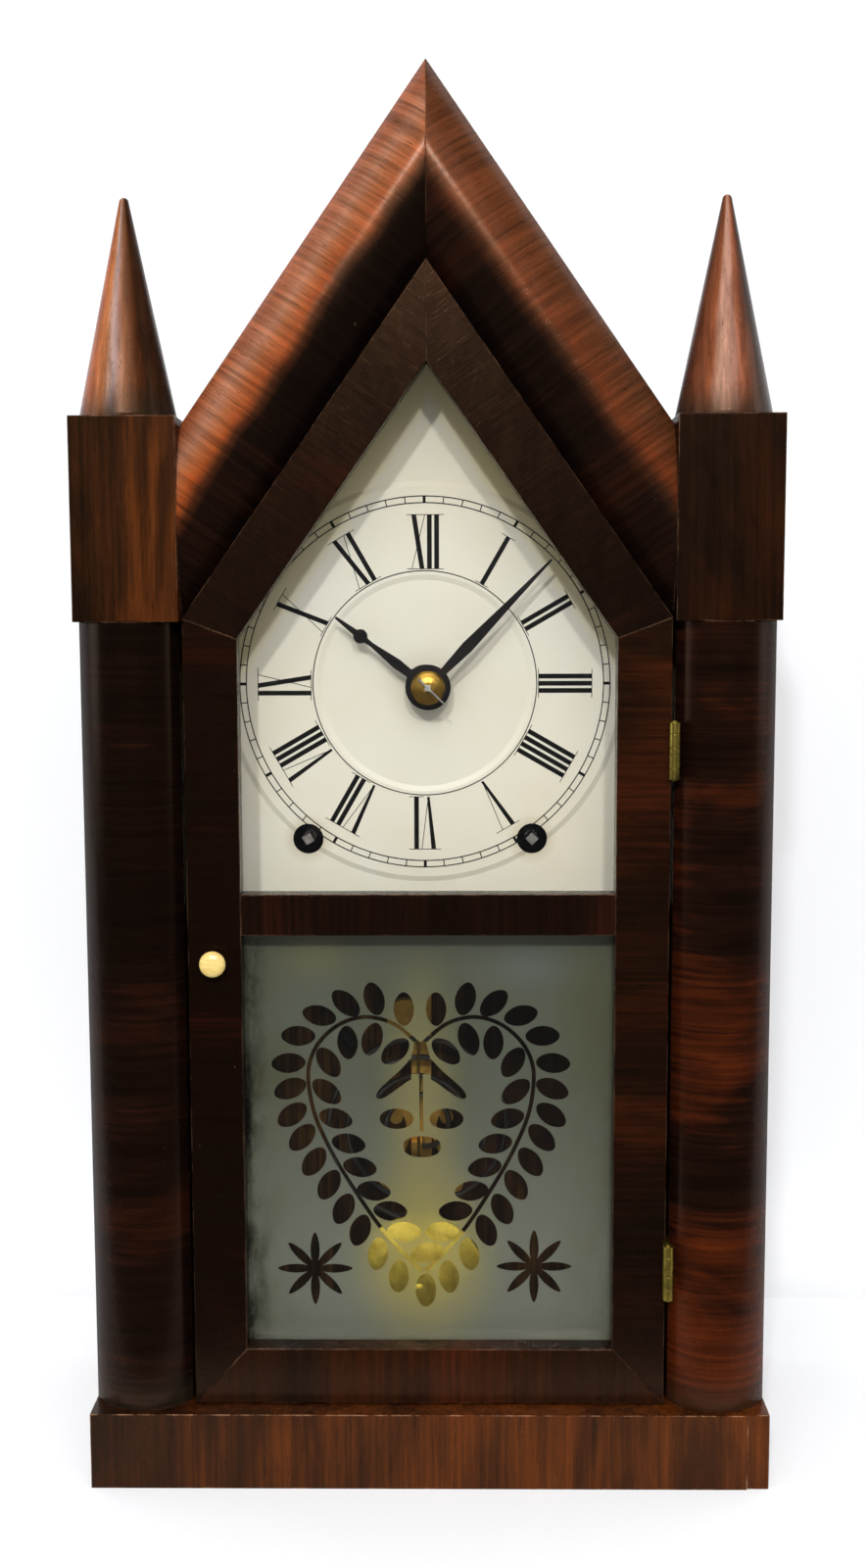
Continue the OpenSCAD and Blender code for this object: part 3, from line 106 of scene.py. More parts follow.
class Tree:
    """Short ways to grow a node tree."""

    def __init__(self, tree):
        self.t = tree
        self.obj = None

    def put(self, node, socket, value):
        s = node.inputs[socket]
        if isinstance(value, bpy.types.NodeSocket):
            self.t.links.new(value, s)
        else:
            s.default_value = value

    def add(self, kind, inputs=None, **attrs):
        n = self.t.nodes.new(kind)
        for k, v in attrs.items():
            setattr(n, k, v)
        for k, v in (inputs or {}).items():
            self.put(n, k, v)
        return n

    def coords(self, scale=(1, 1, 1), turn=None, shift=(0, 0, 0)):
        if self.obj is None:
            self.obj = self.add("ShaderNodeTexCoord").outputs["Object"]
        v = self.obj
        if turn:
            v = self.add("ShaderNodeMapping", {"Vector": v, "Rotation": turn}).outputs[0]
        return self.add("ShaderNodeMapping", {"Vector": v, "Scale": scale, "Location": shift}).outputs[0]

    def noise(self, scale, detail=4, rough=0.55, bend=0.0, **where):
        """Noise in object space; the scale is one number, or one for each axis."""
        v = self.coords(scale if isinstance(scale, tuple) else (scale,) * 3, **where)
        inputs = {"Vector": v, "Scale": 1, "Detail": detail, "Roughness": rough, "Distortion": bend}
        return self.add("ShaderNodeTexNoise", inputs).outputs[0]

    def ramp(self, fac, rows):
        n = self.add("ShaderNodeValToRGB", {"Fac": fac})
        e = n.color_ramp.elements
        while len(e) < len(rows):
            e.new(0.5)
        for el, (pos, col) in zip(e, rows):
            el.position = pos
            el.color = col
        return n.outputs[0]

    def mix(self, fac, a, b, mode="MIX"):
        return self.add("ShaderNodeMix", {0: fac, 6: a, 7: b}, data_type="RGBA", blend_type=mode).outputs[2]

    def math(self, op, a, b=0.5, clamp=True):
        """Sums, differences and products stay within 0 and 1 unless clamp is off."""
        clamp = clamp and op in ("ADD", "MULTIPLY", "SUBTRACT")
        return self.add("ShaderNodeMath", {0: a, 1: b}, operation=op, use_clamp=clamp).outputs[0]

    def both(self, a, ka, b, kb):
        return self.math("ADD", self.math("MULTIPLY", a, ka), self.math("MULTIPLY", b, kb))

    def range(self, v, a, b, c=0.0, d=1.0, curve="LINEAR"):
        """Maps a..b to c..d, clamped."""
        inputs = {"Value": v, "From Min": a, "From Max": b, "To Min": c, "To Max": d}
        return self.add("ShaderNodeMapRange", inputs, interpolation_type=curve).outputs[0]

    def axis(self, name):
        return self.add("ShaderNodeSeparateXYZ", {"Vector": self.coords()}).outputs[name]

    def vector(self, op, *values):
        return self.add("ShaderNodeVectorMath", dict(enumerate(values)), operation=op).outputs["Value"]

    def away(self, cx, cz, rx=1.0, rz=1.0):
        """Distance in X and Z from a point, in units of rx and rz."""
        return self.vector("LENGTH", self.coords((1 / rx, 0, 1 / rz), shift=(-cx / rx, 0, -cz / rz)))

    def facing(self, direction):
        """How far the surface faces a direction of the room, -1 to 1."""
        return self.vector("DOT_PRODUCT", self.add("ShaderNodeNewGeometry").outputs["Normal"], direction)

    def bump(self, height, strength, distance=0.0002, normal=None):
        inputs = {"Height": height, "Strength": strength, "Distance": distance}
        if normal is not None:
            inputs["Normal"] = normal
        return self.add("ShaderNodeBump", inputs).outputs[0]

    def edges(self, radius):
        """(rounded normal, mask that is 1 along arrises)."""
        bev = self.add("ShaderNodeBevel", {"Radius": radius}, samples=6).outputs[0]
        dot = self.vector("DOT_PRODUCT", bev, self.add("ShaderNodeNewGeometry").outputs["Normal"])
        return bev, self.range(dot, 0.985, 0.86)


class Mat(Tree):
    """A material round a Principled BSDF, whose constant sockets are given by name."""

    def __init__(self, name, **sockets):
        self.m = bpy.data.materials.new(name)
        self.m.use_nodes = True
        super().__init__(self.m.node_tree)
        self.b = self.t.nodes["Principled BSDF"]
        for k, v in sockets.items():
            self.b.inputs[k.replace("_", " ")].default_value = v

    def thin(self, fac, color=WHITE):
        """Mixes the surface with plain transparency."""
        clear = self.add("ShaderNodeBsdfTransparent", {"Color": color})
        mixer = self.add("ShaderNodeMixShader", {0: fac, 1: self.b.outputs[0], 2: clear.outputs[0]})
        self.put(self.t.nodes["Material Output"], "Surface", mixer.outputs[0])

    def done(self, color, rough=None, normal=None, coat_normal=None):
        sockets = {"Base Color": color, "Roughness": rough, "Normal": normal, "Coat Normal": coat_normal}
        for name, v in sockets.items():
            if v is not None:
                self.put(self.b, name, v)
        return self.m


# ---------------------------------------------------------------- woods
SHEEN = (1, 0.5, 0.26, 1)
RELIEF = 0.16
# Figure in the rolls: its place in the noise, and what it takes from red, green and blue
FIGURE = ((0.36, 0.62, 0.66, 0.7), (0.47, 0.3, 0.34, 0.38), (0.58, 0, 0.05, 0.08), (0.68, 0, 0.3, 0.5))


def wood(name, tones, shift, turn=None, patch=1.0, balance=0.5, wear=0.5, nicks=0.5, pale=1.0,
         gloss=0.06, spec=0.24, rough=(0.22, 0.3), band=0.0, low=0.0, across=None, lit=None, fig=1.0,
         wrap=0.0, foot=None):
    """Polished wood whose grain runs along local Z after the turn.

    tones are its dark, middle and warm tone, balance is where the middle one lies in the noise, and patch
    is how small the patches are. wear and pale are for the arrises, nicks for the chips, band for fine dark
    lines. low warms the foot, and across is (x0, x1, shift at x0, shift at x1) of the tone. lit is
    (direction, stops) of the painted light, shade and sheen of a roll or cone, fig the strength of its
    figure, wrap flattens the grain in depth, and foot is the height and reach of grime above a joint.
    """
    dark, mid, warm = (rgb(*tone) for tone in tones)
    m = Mat(name, Coat_Weight=gloss, Coat_Roughness=0.16, IOR=1.46, Specular_IOR_Level=spec,
            Specular_Tint=SHEEN)
    grain = {"turn": turn, "shift": shift}
    # Veneer bent round a roll: the grain follows the bend, so it hardly changes in depth
    side = wrap or 1.0
    wide = m.noise((34 * patch, 34 * patch * (0.4 if wrap else 1), 9 * patch), 4, 0.6, 0.6, **grain)
    streak = m.noise((520, 520 * side, 13), 6, 0.62, 0.35, **grain)
    pores = m.noise((1900, 1900 * side * 2.5 if wrap else 1900, 130), 3, 0.6, **grain)
    fac = m.both(wide, 0.84, streak, 0.20)
    if low:
        fac = m.math("ADD", fac, m.range(m.axis("Z"), 0.02, 0.17, low, 0.0))
    if across:
        fac = m.math("ADD", fac, m.range(m.axis("X"), *across))
    c = m.ramp(fac, [(balance - 0.12, dark), (balance + 0.02, mid), (balance + 0.2, warm)])
    if lit:
        # Painted light and shade: lit colour and a painted sheen on the side facing the direction, black on
        # the far side, figure over it
        direction, rows = lit
        drift = m.noise(16, 3, 0.6, shift=shift)
        faced = m.math("ADD", m.facing(direction), m.range(drift, 0.3, 0.7, -0.12, 0.12), clamp=False)
        shown = m.ramp(m.range(faced, -1.0, 1.0), rows)
        flame = m.noise((230, 230 * side, 16), 5, 0.62, 0.5, **grain)
        figure = m.ramp(m.both(flame, 0.6, streak, 0.42),
                        [(pos, tuple(1 - k * fig for k in loss) + (1,)) for pos, *loss in FIGURE])
        shown = m.mix(1.0, shown, figure, "MULTIPLY")
        c = m.mix(1.0, shown, m.mix(1.0, c, (0.5, 0.5, 0.5, 1), "MULTIPLY"), "ADD")
    if foot:
        height, reach = foot
        grime = m.range(m.axis("Z"), height + 0.002, height + reach, 0.85, 0.0)
        c = m.mix(m.math("MULTIPLY", grime, m.range(wide, 0.3, 0.6, 1.0, 0.75)), c, rgb(38, 34, 26))
    if band:
        lines = m.noise((900, 900, 4), 2, 0.5, **grain)
        c = m.mix(m.range(lines, 0.52, 0.66, 0, band), c, dark)
    c = m.mix(m.range(streak, 0.36, 0.62, 0.4, 0.0), c, scaled(dark, 0.35))
    c = m.mix(m.range(pores, 0.6, 0.72, 0, 0.7), c, scaled(dark, 0.3))
    # Old polish, thinner and paler along the arrises, with a few chips down to bare wood
    bev, edge = m.edges(0.0007)
    patchy = m.noise((140, 140, 60), 5, 0.7, shift=shift)
    worn = m.math("MULTIPLY", edge, m.range(patchy, 0.46, 0.62, 0, wear))
    c = m.mix(worn, c, rgb(150 * pale, 112 * pale, 84 * pale))
    spots = m.noise((330, 330, 240), 4, 0.75, shift=(3.1 + shift[0], 1.7, 0.4))
    area = m.noise((17, 17, 12), 2, shift=(shift[2], 4.2, shift[0]))
    chip = m.math("MULTIPLY", m.range(spots, 0.735, 0.75), m.range(area, 0.52, 0.62, 0, nicks))
    c = m.mix(chip, c, rgb(170, 140, 104))
    height = m.math("SUBTRACT", m.math("ADD", m.math("MULTIPLY", streak, 0.7), 0.2),
                    m.math("MULTIPLY", m.range(pores, 0.58, 0.72), 0.3))
    return m.done(c, m.range(patchy, 0.3, 0.7, *rough), m.bump(height, RELIEF, 0.00035, bev),
                  m.bump(streak, RELIEF * 0.75, 0.0002, bev))


PITCH = radians(54.9)
GRAIN_X = (0, -pi / 2, 0)
GRAIN_Y = (pi / 2, 0, 0)
SLOPE_R = (0, -PITCH, 0)
SLOPE_L = (0, PITCH, 0)
OUT_L = (-sin(PITCH), 0, cos(PITCH))
OUT_R = (sin(PITCH), 0, cos(PITCH))
LEFT = (-1, 0, 0)

# Painted light, shade and sheen of the rolls and cones, by how far they face a direction
ROLL_L = (OUT_L, stops(
    (0.42, 6, 4, 4), (0.48, 66, 30, 13), (0.55, 154, 72, 30), (0.62, 168, 98, 60), (0.7, 172, 118, 92),
    (0.82, 156, 86, 52), (1.0, 122, 62, 38)))
ROLL_R = (OUT_R, stops(
    (0.42, 8, 6, 5), (0.5, 46, 20, 10), (0.6, 104, 48, 22), (0.7, 98, 52, 29), (0.85, 90, 52, 29),
    (1.0, 76, 44, 26)))
CONE_L = (LEFT, stops(
    (0.2, 36, 20, 10), (0.33, 76, 38, 14), (0.44, 118, 70, 42), (0.51, 150, 112, 98), (0.57, 166, 142, 138),
    (0.62, 170, 132, 112), (0.69, 174, 102, 54), (0.86, 166, 80, 29), (1.0, 120, 62, 30)))
CONE_R = (LEFT, stops(
    (0.15, 26, 18, 16), (0.27, 92, 52, 36), (0.4, 148, 88, 62), (0.5, 168, 122, 106), (0.64, 180, 136, 116),
    (0.74, 140, 78, 48), (1.0, 74, 40, 26)))

# Rosewood veneer and mahogany, in the tones that the faces show
DEEP = (15, 8, 5)
CONE_TONES = ((20, 12, 8), (38, 20, 12), (60, 32, 18))
BOARD_TONES = ((24, 12, 8), (56, 28, 16), (92, 48, 26))
PILLAR = dict(
    turn=GRAIN_X, patch=0.8, nicks=1.0, low=0.1, foot=(0.0282, 0.014), wrap=0.05, spec=0.13, gloss=0.03)
MOULDING = dict(patch=0.8, wear=0.3, gloss=0.05, wrap=0.05, fig=0.62)
STEEPLE = dict(wear=0.2, foot=(0.387, 0.012), fig=0.26, wrap=0.5)
FRAME = dict(patch=0.7, wear=0.3)
BOARD = dict(patch=0.7, rough=(0.4, 0.55))
INNER = dict(gloss=0.0, rough=(0.6, 0.8))
BATTEN = dict(turn=GRAIN_X, patch=0.6, wear=0.3, band=0.3, nicks=0.1, **INNER)

mats = {
    "pillar_left": wood(
        "veneer_pillar_left", (DEEP, (22, 11, 7), (49, 22, 11)), (0.3, 0, 0.7), balance=0.54, **PILLAR),
    "pillar_right": wood(
        "veneer_pillar_right", (DEEP, (30, 14, 8), (82, 33, 12)), (1.3, 2, 0.2), balance=0.51, **PILLAR),
    "gable_moulding_left": wood(
        "veneer_gable_left", (DEEP, (22, 12, 8), (51, 24, 12)), (2.3, 0, 0.5), SLOPE_L, lit=ROLL_L,
        **MOULDING),
    "gable_moulding_right": wood(
        "veneer_gable_right", (DEEP, (26, 12, 7), (54, 24, 11)), (5.3, 0, 1.5), SLOPE_R, lit=ROLL_R,
        **MOULDING),
    "cap_block_left": wood(
        "veneer_block_left", ((22, 12, 6), (54, 27, 11), (104, 52, 18)), (0.42, 0, 0.9), wear=0.7,
        across=(-0.117, -0.104, -0.16, 0.02)),
    "cap_block_right": wood(
        "veneer_block_right", ((11, 7, 4), (22, 11, 6), (46, 20, 8)), (3.1, 0, 0.4), wear=0.7),
    "plinth_front": wood(
        "veneer_plinth", ((25, 12, 6), (54, 25, 8), (92, 44, 13)), (7.7, 0, 0.1), balance=0.49, wear=1.0,
        nicks=0.9, pale=1.2, across=(-0.12, -0.02, -0.08, 0.05)),
    "steeple_left": wood("steeple_wood_left", CONE_TONES, (0.2, 1, 0.8), lit=CONE_L, **STEEPLE),
    "steeple_right": wood("steeple_wood_right", CONE_TONES, (4.2, 3, 0.3), lit=CONE_R, **STEEPLE),
    "door_stile_left": wood(
        "frame_wood_left", (DEEP, (18, 7, 4), (42, 14, 6)), (0.6, 0, 0), GRAIN_X, balance=0.54, **FRAME),
    "door_stile_right": wood(
        "frame_wood_right", (DEEP, (29, 13, 6), (61, 25, 10)), (6.6, 2, 0), GRAIN_X, balance=0.52, low=0.05,
        **FRAME),
    "door_gable_rail_left": wood(
        "frame_wood_gable_left", (DEEP, (22, 10, 6), (43, 15, 7)), (0.9, 2, 0), SLOPE_L, balance=0.54,
        **FRAME),
    "door_gable_rail_right": wood(
        "frame_wood_gable_right", (DEEP, (15, 7, 5), (36, 14, 7)), (8.9, 2, 0), SLOPE_R, balance=0.54,
        **FRAME),
    "door_middle_rail": wood(
        "frame_wood_middle", (DEEP, (24, 11, 7), (48, 20, 11)), (1.9, 2, 0), patch=0.8, balance=0.52,
        wear=0.4),
    "door_bottom_rail": wood(
        "frame_wood_bottom", ((16, 9, 5), (33, 15, 6), (62, 25, 8)), (2.9, 2, 0), patch=0.8, balance=0.49,
        across=(-0.065, -0.025, -0.09, 0.03)),
    "case_sides": wood("case_wood_sides", BOARD_TONES, (4, 1, 0), wear=0.6, **BOARD),
    "front_stiles": wood(
        "case_wood_stiles", ((16, 9, 6), (34, 17, 10), (58, 29, 17)), (5, 1, 0), wear=0.4, **BOARD),
    "plinth_sides": wood("case_wood_plinth", BOARD_TONES, (9, 1, 0), GRAIN_Y, wear=0.7, **BOARD),
    "roof_boards": wood(
        "case_wood_roof", ((22, 12, 8), (50, 26, 15), (82, 44, 25)), (2, 7, 0), GRAIN_Y, patch=0.7,
        wear=0.6, rough=(0.42, 0.6)),
    "back_board": wood(
        "inner_wood_back", ((20, 12, 7), (44, 28, 14), (112, 80, 38)), (1, 0, 3), patch=0.9, balance=0.52,
        low=0.02, band=0.4, nicks=0.2, **INNER),
    "bottom_board": wood(
        "inner_wood_floor", ((40, 26, 15), (76, 52, 30), (104, 76, 46)), (4, 0, 3), **BATTEN),
    "mounting_battens": wood(
        "inner_wood_battens", ((52, 34, 20), (88, 60, 36), (116, 84, 52)), (5, 0, 3), **BATTEN),
}


# ---------------------------------------------------------------- metals
def brass(name, base, stain, rough, tarnish=0.5, tip=None, hole_shade=()):
    """Tarnished brass, steel in front of the plane y = tip, with painted shade, near black, round the given
    points.
    """
    base, stain = rgb(*base), rgb(*stain)
    m = Mat(name, Metallic=1.0)
    cloud = m.noise(95, 5, 0.65)
    fine = m.noise((900, 900, 30), 3, 0.6)
    c = m.mix(m.range(cloud, 0.4, 0.68, 0, tarnish), base, stain)
    c = m.mix(m.range(fine, 0.5, 0.75, 0, 0.35), c, stain)
    bev, edge = m.edges(0.00025)
    c = m.mix(m.math("MULTIPLY", edge, 0.4), c, scaled(base, 1.5))
    # Painted shade: near-black discs round the winding holes, where the plate lies in shadow behind the
    # dial
    for cx, cz in hole_shade:
        c = m.mix(m.range(m.away(cx, cz), 0.0085, 0.014, 1.0, 0), c, rgb(13, 9, 6))
    if tip:
        bright = m.ramp(fine, stops((0.3, 150, 150, 148), (0.7, 214, 214, 210)))
        c = m.mix(m.range(m.axis("Y"), tip, tip - 0.0003), c, bright)
    return m.done(c, m.range(cloud, 0.3, 0.7, *rough), m.bump(fine, 0.12, 0.0001, bev))


def steel(name, base, rust, rough, rusty, metal=1.0, scale=150, shine=0.5):
    base = rgb(*base)
    m = Mat(name, Metallic=metal, Specular_IOR_Level=shine)
    cloud = m.noise(scale, 6, 0.7)
    fine = m.noise((1600, 1600, 500), 3)
    c = m.mix(m.range(cloud, 0.5, 0.66, 0, rusty), base, rgb(*rust))
    bev, edge = m.edges(0.0002)
    c = m.mix(m.math("MULTIPLY", edge, 0.3), c, scaled(base, 2, 0.05))
    return m.done(c, m.range(cloud, 0.3, 0.7, *rough), m.bump(fine, 0.2, 0.0001, bev))


# ---------------------------------------------------------------- putty, bone, paint and glass
# Holes in the dial for winding and for the hands, in metres of X and Z
WINDING_HOLES = ((0.0385, 0.2354), (-0.045, 0.2354))
# Grime round each hole: its radii where it is full and where it ends, and its strength
GRIME = (((0, 0.292), 0.008, 0.017, 0.2),) + tuple((hole, 0.0057, 0.0098, 0.35) for hole in WINDING_HOLES)


def putty():
    m = Mat("putty", Specular_IOR_Level=0.3)
    n = m.noise(260, 6, 0.7)
    c = m.ramp(n, stops((0.3, 58, 44, 32), (0.6, 104, 84, 60), (0.8, 140, 118, 88)))
    return m.done(c, m.range(n, 0.3, 0.7, 0.6, 0.9), m.bump(n, 0.6, 0.0008))


def bone():
    m = Mat("bone", Subsurface_Weight=0.15, Subsurface_Radius=(0.002, 0.0012, 0.0008), Coat_Weight=0.3,
            Coat_Roughness=0.25)
    rings = m.noise((300, 60, 900))
    stain = m.noise(190, 5)
    c = m.ramp(rings, stops((0.3, 226, 190, 108), (0.55, 240, 212, 130), (0.8, 246, 228, 160)))
    c = m.mix(m.range(stain, 0.58, 0.78, 0, 0.35), c, rgb(150, 112, 52))
    return m.done(c, m.range(stain, 0.3, 0.7, 0.28, 0.45), m.bump(rings, 0.08, 0.0001))


def dial_paint():
    m = Mat("dial_paint", Coat_Weight=0.08, Coat_Roughness=0.35, IOR=1.45, Specular_IOR_Level=0.35)
    big = m.noise(18, 4, 0.6)
    small = m.noise(240, 6, 0.7)
    c = m.ramp(big, stops((0.32, 230, 225, 204), (0.55, 234, 231, 214), (0.75, 237, 235, 222)))
    c = m.mix(m.range(small, 0.62, 0.78, 0, 0.16), c, rgb(196, 178, 134))
    # Painted shade: yellow towards the apex and along the rails of the gable, where the door frame shades
    # the dial, and grime round the holes
    x, z = m.axis("X"), m.axis("Z")
    c = m.mix(m.range(z, 0.345, 0.415, 0, 0.25), c, rgb(226, 214, 166))
    # Painted shade: a yellow band inside the rails of the gable, where the door frame's shadow falls on the
    # dial
    off = m.math("ABSOLUTE", m.math("SUBTRACT", x, 0.0007, clamp=False))
    slope = m.math("ADD", m.math("MULTIPLY", off, sin(PITCH)), m.math("MULTIPLY", z, cos(PITCH)),
                   clamp=False)
    frame_shadow_band = m.math("MULTIPLY", m.range(slope, 0.2255, 0.2305), m.range(big, 0.3, 0.6, 0.95, 0.6))
    c = m.mix(frame_shadow_band, c, rgb(226, 212, 152))
    for hole, r0, r1, k in GRIME:
        c = m.mix(m.range(m.away(*hole), r0, r1, k, 0), c, rgb(176, 160, 120))
    specks = m.noise(900, 2, 0.5, shift=(4, 2, 1))
    c = m.mix(m.range(specks, 0.78, 0.8, 0, 0.7), c, rgb(96, 80, 58))
    crack = m.add("ShaderNodeTexVoronoi", {"Vector": m.coords((120, 120, 120)), "Randomness": 1.0},
                  feature="DISTANCE_TO_EDGE").outputs[0]
    c = m.mix(m.range(crack, 0.0, 0.012, 0.07, 0), c, rgb(150, 130, 96))
    return m.done(c, m.range(small, 0.3, 0.7, 0.42, 0.55),
                  m.bump(m.both(small, 0.5, big, 0.5), 0.1, 0.0004), m.bump(big, 0.15, 0.001))


def ink():
    m = Mat("dial_ink", IOR=1.45, Specular_IOR_Level=0.08)
    n = m.noise(420, 5, 0.7)
    c = m.ramp(n, stops((0.3, 8, 8, 8), (0.64, 16, 15, 13), (0.8, 54, 50, 40), (0.84, 180, 172, 150)))
    return m.done(c, m.range(n, 0.3, 0.7, 0.35, 0.55), m.bump(n, 0.1, 0.0001))


def see_through(m, amount):
    """Lets lamp light through the pane, which refracting glass alone would block."""
    path = m.add("ShaderNodeLightPath").outputs
    rays = m.math("ADD", path["Is Shadow Ray"], path["Is Diffuse Ray"])
    m.thin(m.math("MULTIPLY", rays, amount), (0.96, 0.95, 0.94, 1))


def clear_glass(name, tint):
    m = Mat(name, Transmission_Weight=1.0, IOR=1.45)
    smear = m.noise((24, 24, 9), 5, 0.6, 0.8)
    wave = m.noise((9, 9, 14), 2)
    see_through(m, 1.0)
    c = m.ramp(smear, [(0.3, tint), (0.7, WHITE)])
    return m.done(c, m.range(smear, 0.45, 0.75, 0.0, 0.035), m.bump(wave, 0.04, 0.003))


# Painted light in the frosting, the glow of the bob and the gilt stand behind it, and two pale patches near
# the top: centre and radii in X and Z, tone, strength
PAINTED_GLOWS_AND_PATCHES = (
    (-0.002, 0.082, 0.034, 0.046, (204, 193, 108), 0.8),
    (-0.003, 0.135, 0.02, 0.075, (192, 183, 120), 0.6),
    (-0.042, 0.194, 0.018, 0.014, (156, 152, 116), 0.6),
    (0.036, 0.19, 0.02, 0.012, (146, 152, 146), 0.6),
)


def frosting():
    m = Mat("tablet_frosting", Transmission_Weight=0.66, IOR=1.25, Specular_IOR_Level=0.2)
    cloud = m.noise((22, 22, 16), 4, 0.6)
    grit = m.noise(2600, 2, 0.6)
    stain = m.noise((70, 70, 34), 6, 0.75)
    x, z = m.axis("X"), m.axis("Z")
    c = m.ramp(cloud, stops((0.3, 126, 129, 104), (0.55, 131, 136, 118), (0.75, 136, 141, 130)))
    # Painted light: paler below, with the light of the bob and the wood behind it
    c = m.mix(m.range(z, 0.148, 0.085, 0, 1), c, rgb(158, 162, 147))
    for cx, cz, rx, rz, tone, k in PAINTED_GLOWS_AND_PATCHES:
        c = m.mix(m.range(m.away(cx, cz, rx, rz), 0.1, 1.0, k, 0.0, "SMOOTHSTEP"), c, rgb(*tone))
    # Olive stains and dirt at the edges, and flecks where the etching has rubbed away
    side = m.math("MAXIMUM", m.range(x, -0.044, -0.066), m.range(x, 0.046, 0.069))
    c = m.mix(m.math("MULTIPLY", side, m.range(stain, 0.36, 0.62, 0, 0.65)), c, rgb(112, 110, 70))
    left = m.math("MULTIPLY", m.range(x, -0.0585, -0.067), m.range(stain, 0.44, 0.6))
    c = m.mix(left, c, rgb(20, 15, 9))
    flecks = m.noise(520, 4, 0.7, shift=(1, 5, 2))
    c = m.mix(m.range(flecks, 0.74, 0.77, 0, 0.7), c, rgb(196, 198, 190))
    see_through(m, 0.16)
    return m.done(c, m.range(grit, 0.3, 0.7, 0.34, 0.5), m.bump(grit, 0.2, 0.0001))


# ---------------------------------------------------------------- materials of the CAD nodes
YELLOW, BROWNED = (196, 156, 80), (120, 88, 44)
mats.update({
    "glazing_strips": putty(),
    "door_knob": bone(),
    "dial_plate": dial_paint(),
    "upper_glass": clear_glass("clear_glass", (0.985, 0.99, 0.985, 1)),
    "lower_glass": clear_glass("tablet_glass", (0.95, 0.97, 0.96, 1)),
    "gong_stand": brass("gilt_iron", (206, 166, 82), (130, 94, 44), (0.42, 0.62)),
    "pendulum_bob": brass("bob_brass", (226, 204, 92), (150, 122, 44), (0.45, 0.62), 0.6),
    "pendulum_rod": brass("rod_brass", (130, 104, 54), (70, 54, 30), (0.4, 0.6), 0.7),
    "hand_washer": brass("washer_brass", (176, 138, 58), (104, 76, 34), (0.26, 0.42), tip=-0.0315),
    "centre_arbor": brass("arbor_brass", YELLOW, BROWNED, (0.3, 0.5), tip=-0.0305),
    # Front plate darker than the back plate: part tarnish, part painted shade, as it lies in shadow behind
    # the dial
    "movement_front_plate": brass(
        "front_plate_brass", (120, 94, 50), (62, 46, 26), (0.4, 0.6), 0.7, hole_shade=WINDING_HOLES),
    "movement_back_plate": brass("plate_brass", (176, 140, 76), (104, 76, 40), (0.34, 0.55), 0.6),
    "mainsprings": steel("spring_steel", (70, 72, 80), (84, 56, 38), (0.28, 0.45), 0.5),
    "gong_coil": steel("gong_steel", (96, 92, 90), (92, 58, 38), (0.35, 0.55), 0.6),
    "hammer": steel("hammer_steel", (54, 50, 48), (60, 38, 26), (0.45, 0.6), 0.7),
})
SHARED = (
    (brass("wheel_brass", YELLOW, BROWNED, (0.3, 0.5)),
     ("time_main_wheel", "time_second_wheel", "third_wheel", "escape_wheel", "minute_wheel", "hour_wheel",
      "strike_main_wheel", "strike_count_wheel", "strike_pin_wheel", "strike_warning_wheel", "strike_fly")),
    (brass("hinge_brass", (172, 152, 72), (58, 48, 22), (0.34, 0.52), 0.8),
     ("hinge_case_leaves", "hinge_door_leaves")),
    (steel("arbor_steel", (150, 146, 140), (96, 62, 40), (0.3, 0.5), 0.5),
     ("time_winding_arbor", "strike_winding_arbor", "verge", "latch_hook", "movement_screws", "count_lever",
      "time_click", "strike_click")),
    (steel("hand_steel", (15, 13, 13), (30, 18, 14), (0.36, 0.5), 0.6, 0.3, 240, 0.15),
     ("hour_hand", "minute_hand")),
)
for mat, names in SHARED:
    mats.update(dict.fromkeys(names, mat))
for name, o in nodes.items():
    for s in o.material_slots:
        s.material = mats[name]
    if not o.material_slots:
        o.data.materials.append(mats[name])


# ---------------------------------------------------------------- building pieces
def prism(bm, pts, y0, y1):
    """Flat plate between y0 and y1 with an outline in X, Z (millimetres)."""
    area = sum(a[0] * b[1] - b[0] * a[1] for a, b in zip(pts, pts[1:] + pts[:1]))
    if area < 0:
        pts = pts[::-1]
    front, back = ([bm.verts.new((x * MM, y * MM, z * MM)) for x, z in pts] for y in (y0, y1))
    bm.faces.new(front)
    bm.faces.new(back[::-1])
    for i in range(len(pts)):
        j = (i + 1) % len(pts)
        bm.faces.new((front[j], front[i], back[i], back[j]))


def ring(bm, cx, cz, r0, r1, y0, y1, n=240):
    angles = [2 * pi * i / n for i in range(n)]
    loops = []
    for r, y in ((r0, y0), (r1, y0), (r1, y1), (r0, y1)):
        rim = [(cx + r * sin(a), cz + r * cos(a)) for a in angles]
        loops.append([bm.verts.new((x * MM, y * MM, z * MM)) for x, z in rim])
    for a, b in zip(loops, loops[1:] + loops[:1]):
        for i in range(n):
            j = (i + 1) % n
            bm.faces.new((a[i], a[j], b[j], b[i]))


def to_object(name, bm, mat=None):
    mesh = bpy.data.meshes.new(name)
    bm.to_mesh(mesh)
    bm.free()
    if mat:
        mesh.materials.append(mat)
    return link(bpy.data.objects.new(name, mesh))


def piece(name, bm, mat, body):
    bmesh.ops.recalc_face_normals(bm, faces=bm.faces)
    o = to_object(name, bm, mat)
    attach(o, body)
    return o


# ---------------------------------------------------------------- dial printing
# Numerals, minute track and circles on the raised ring. Sizes in millimetres
DIAL = (-1.3, 293.2)
RING_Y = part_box("dial_plate")[0].y / MM
INK = (RING_Y - 0.06, RING_Y - 0.01)
NUM_IN, NUM_OUT = 41.9, 61.8
THICK, THIN, SERIF, INSET = 1.75, 0.26, 0.25, 0.2
HEAD_RUN, FOOT_RUN = 2.7, 1.8
GLYPHS = ["XII", "I", "II", "III", "IIII", "V", "VI", "VII", "VIII", "IX", "X", "XI"]
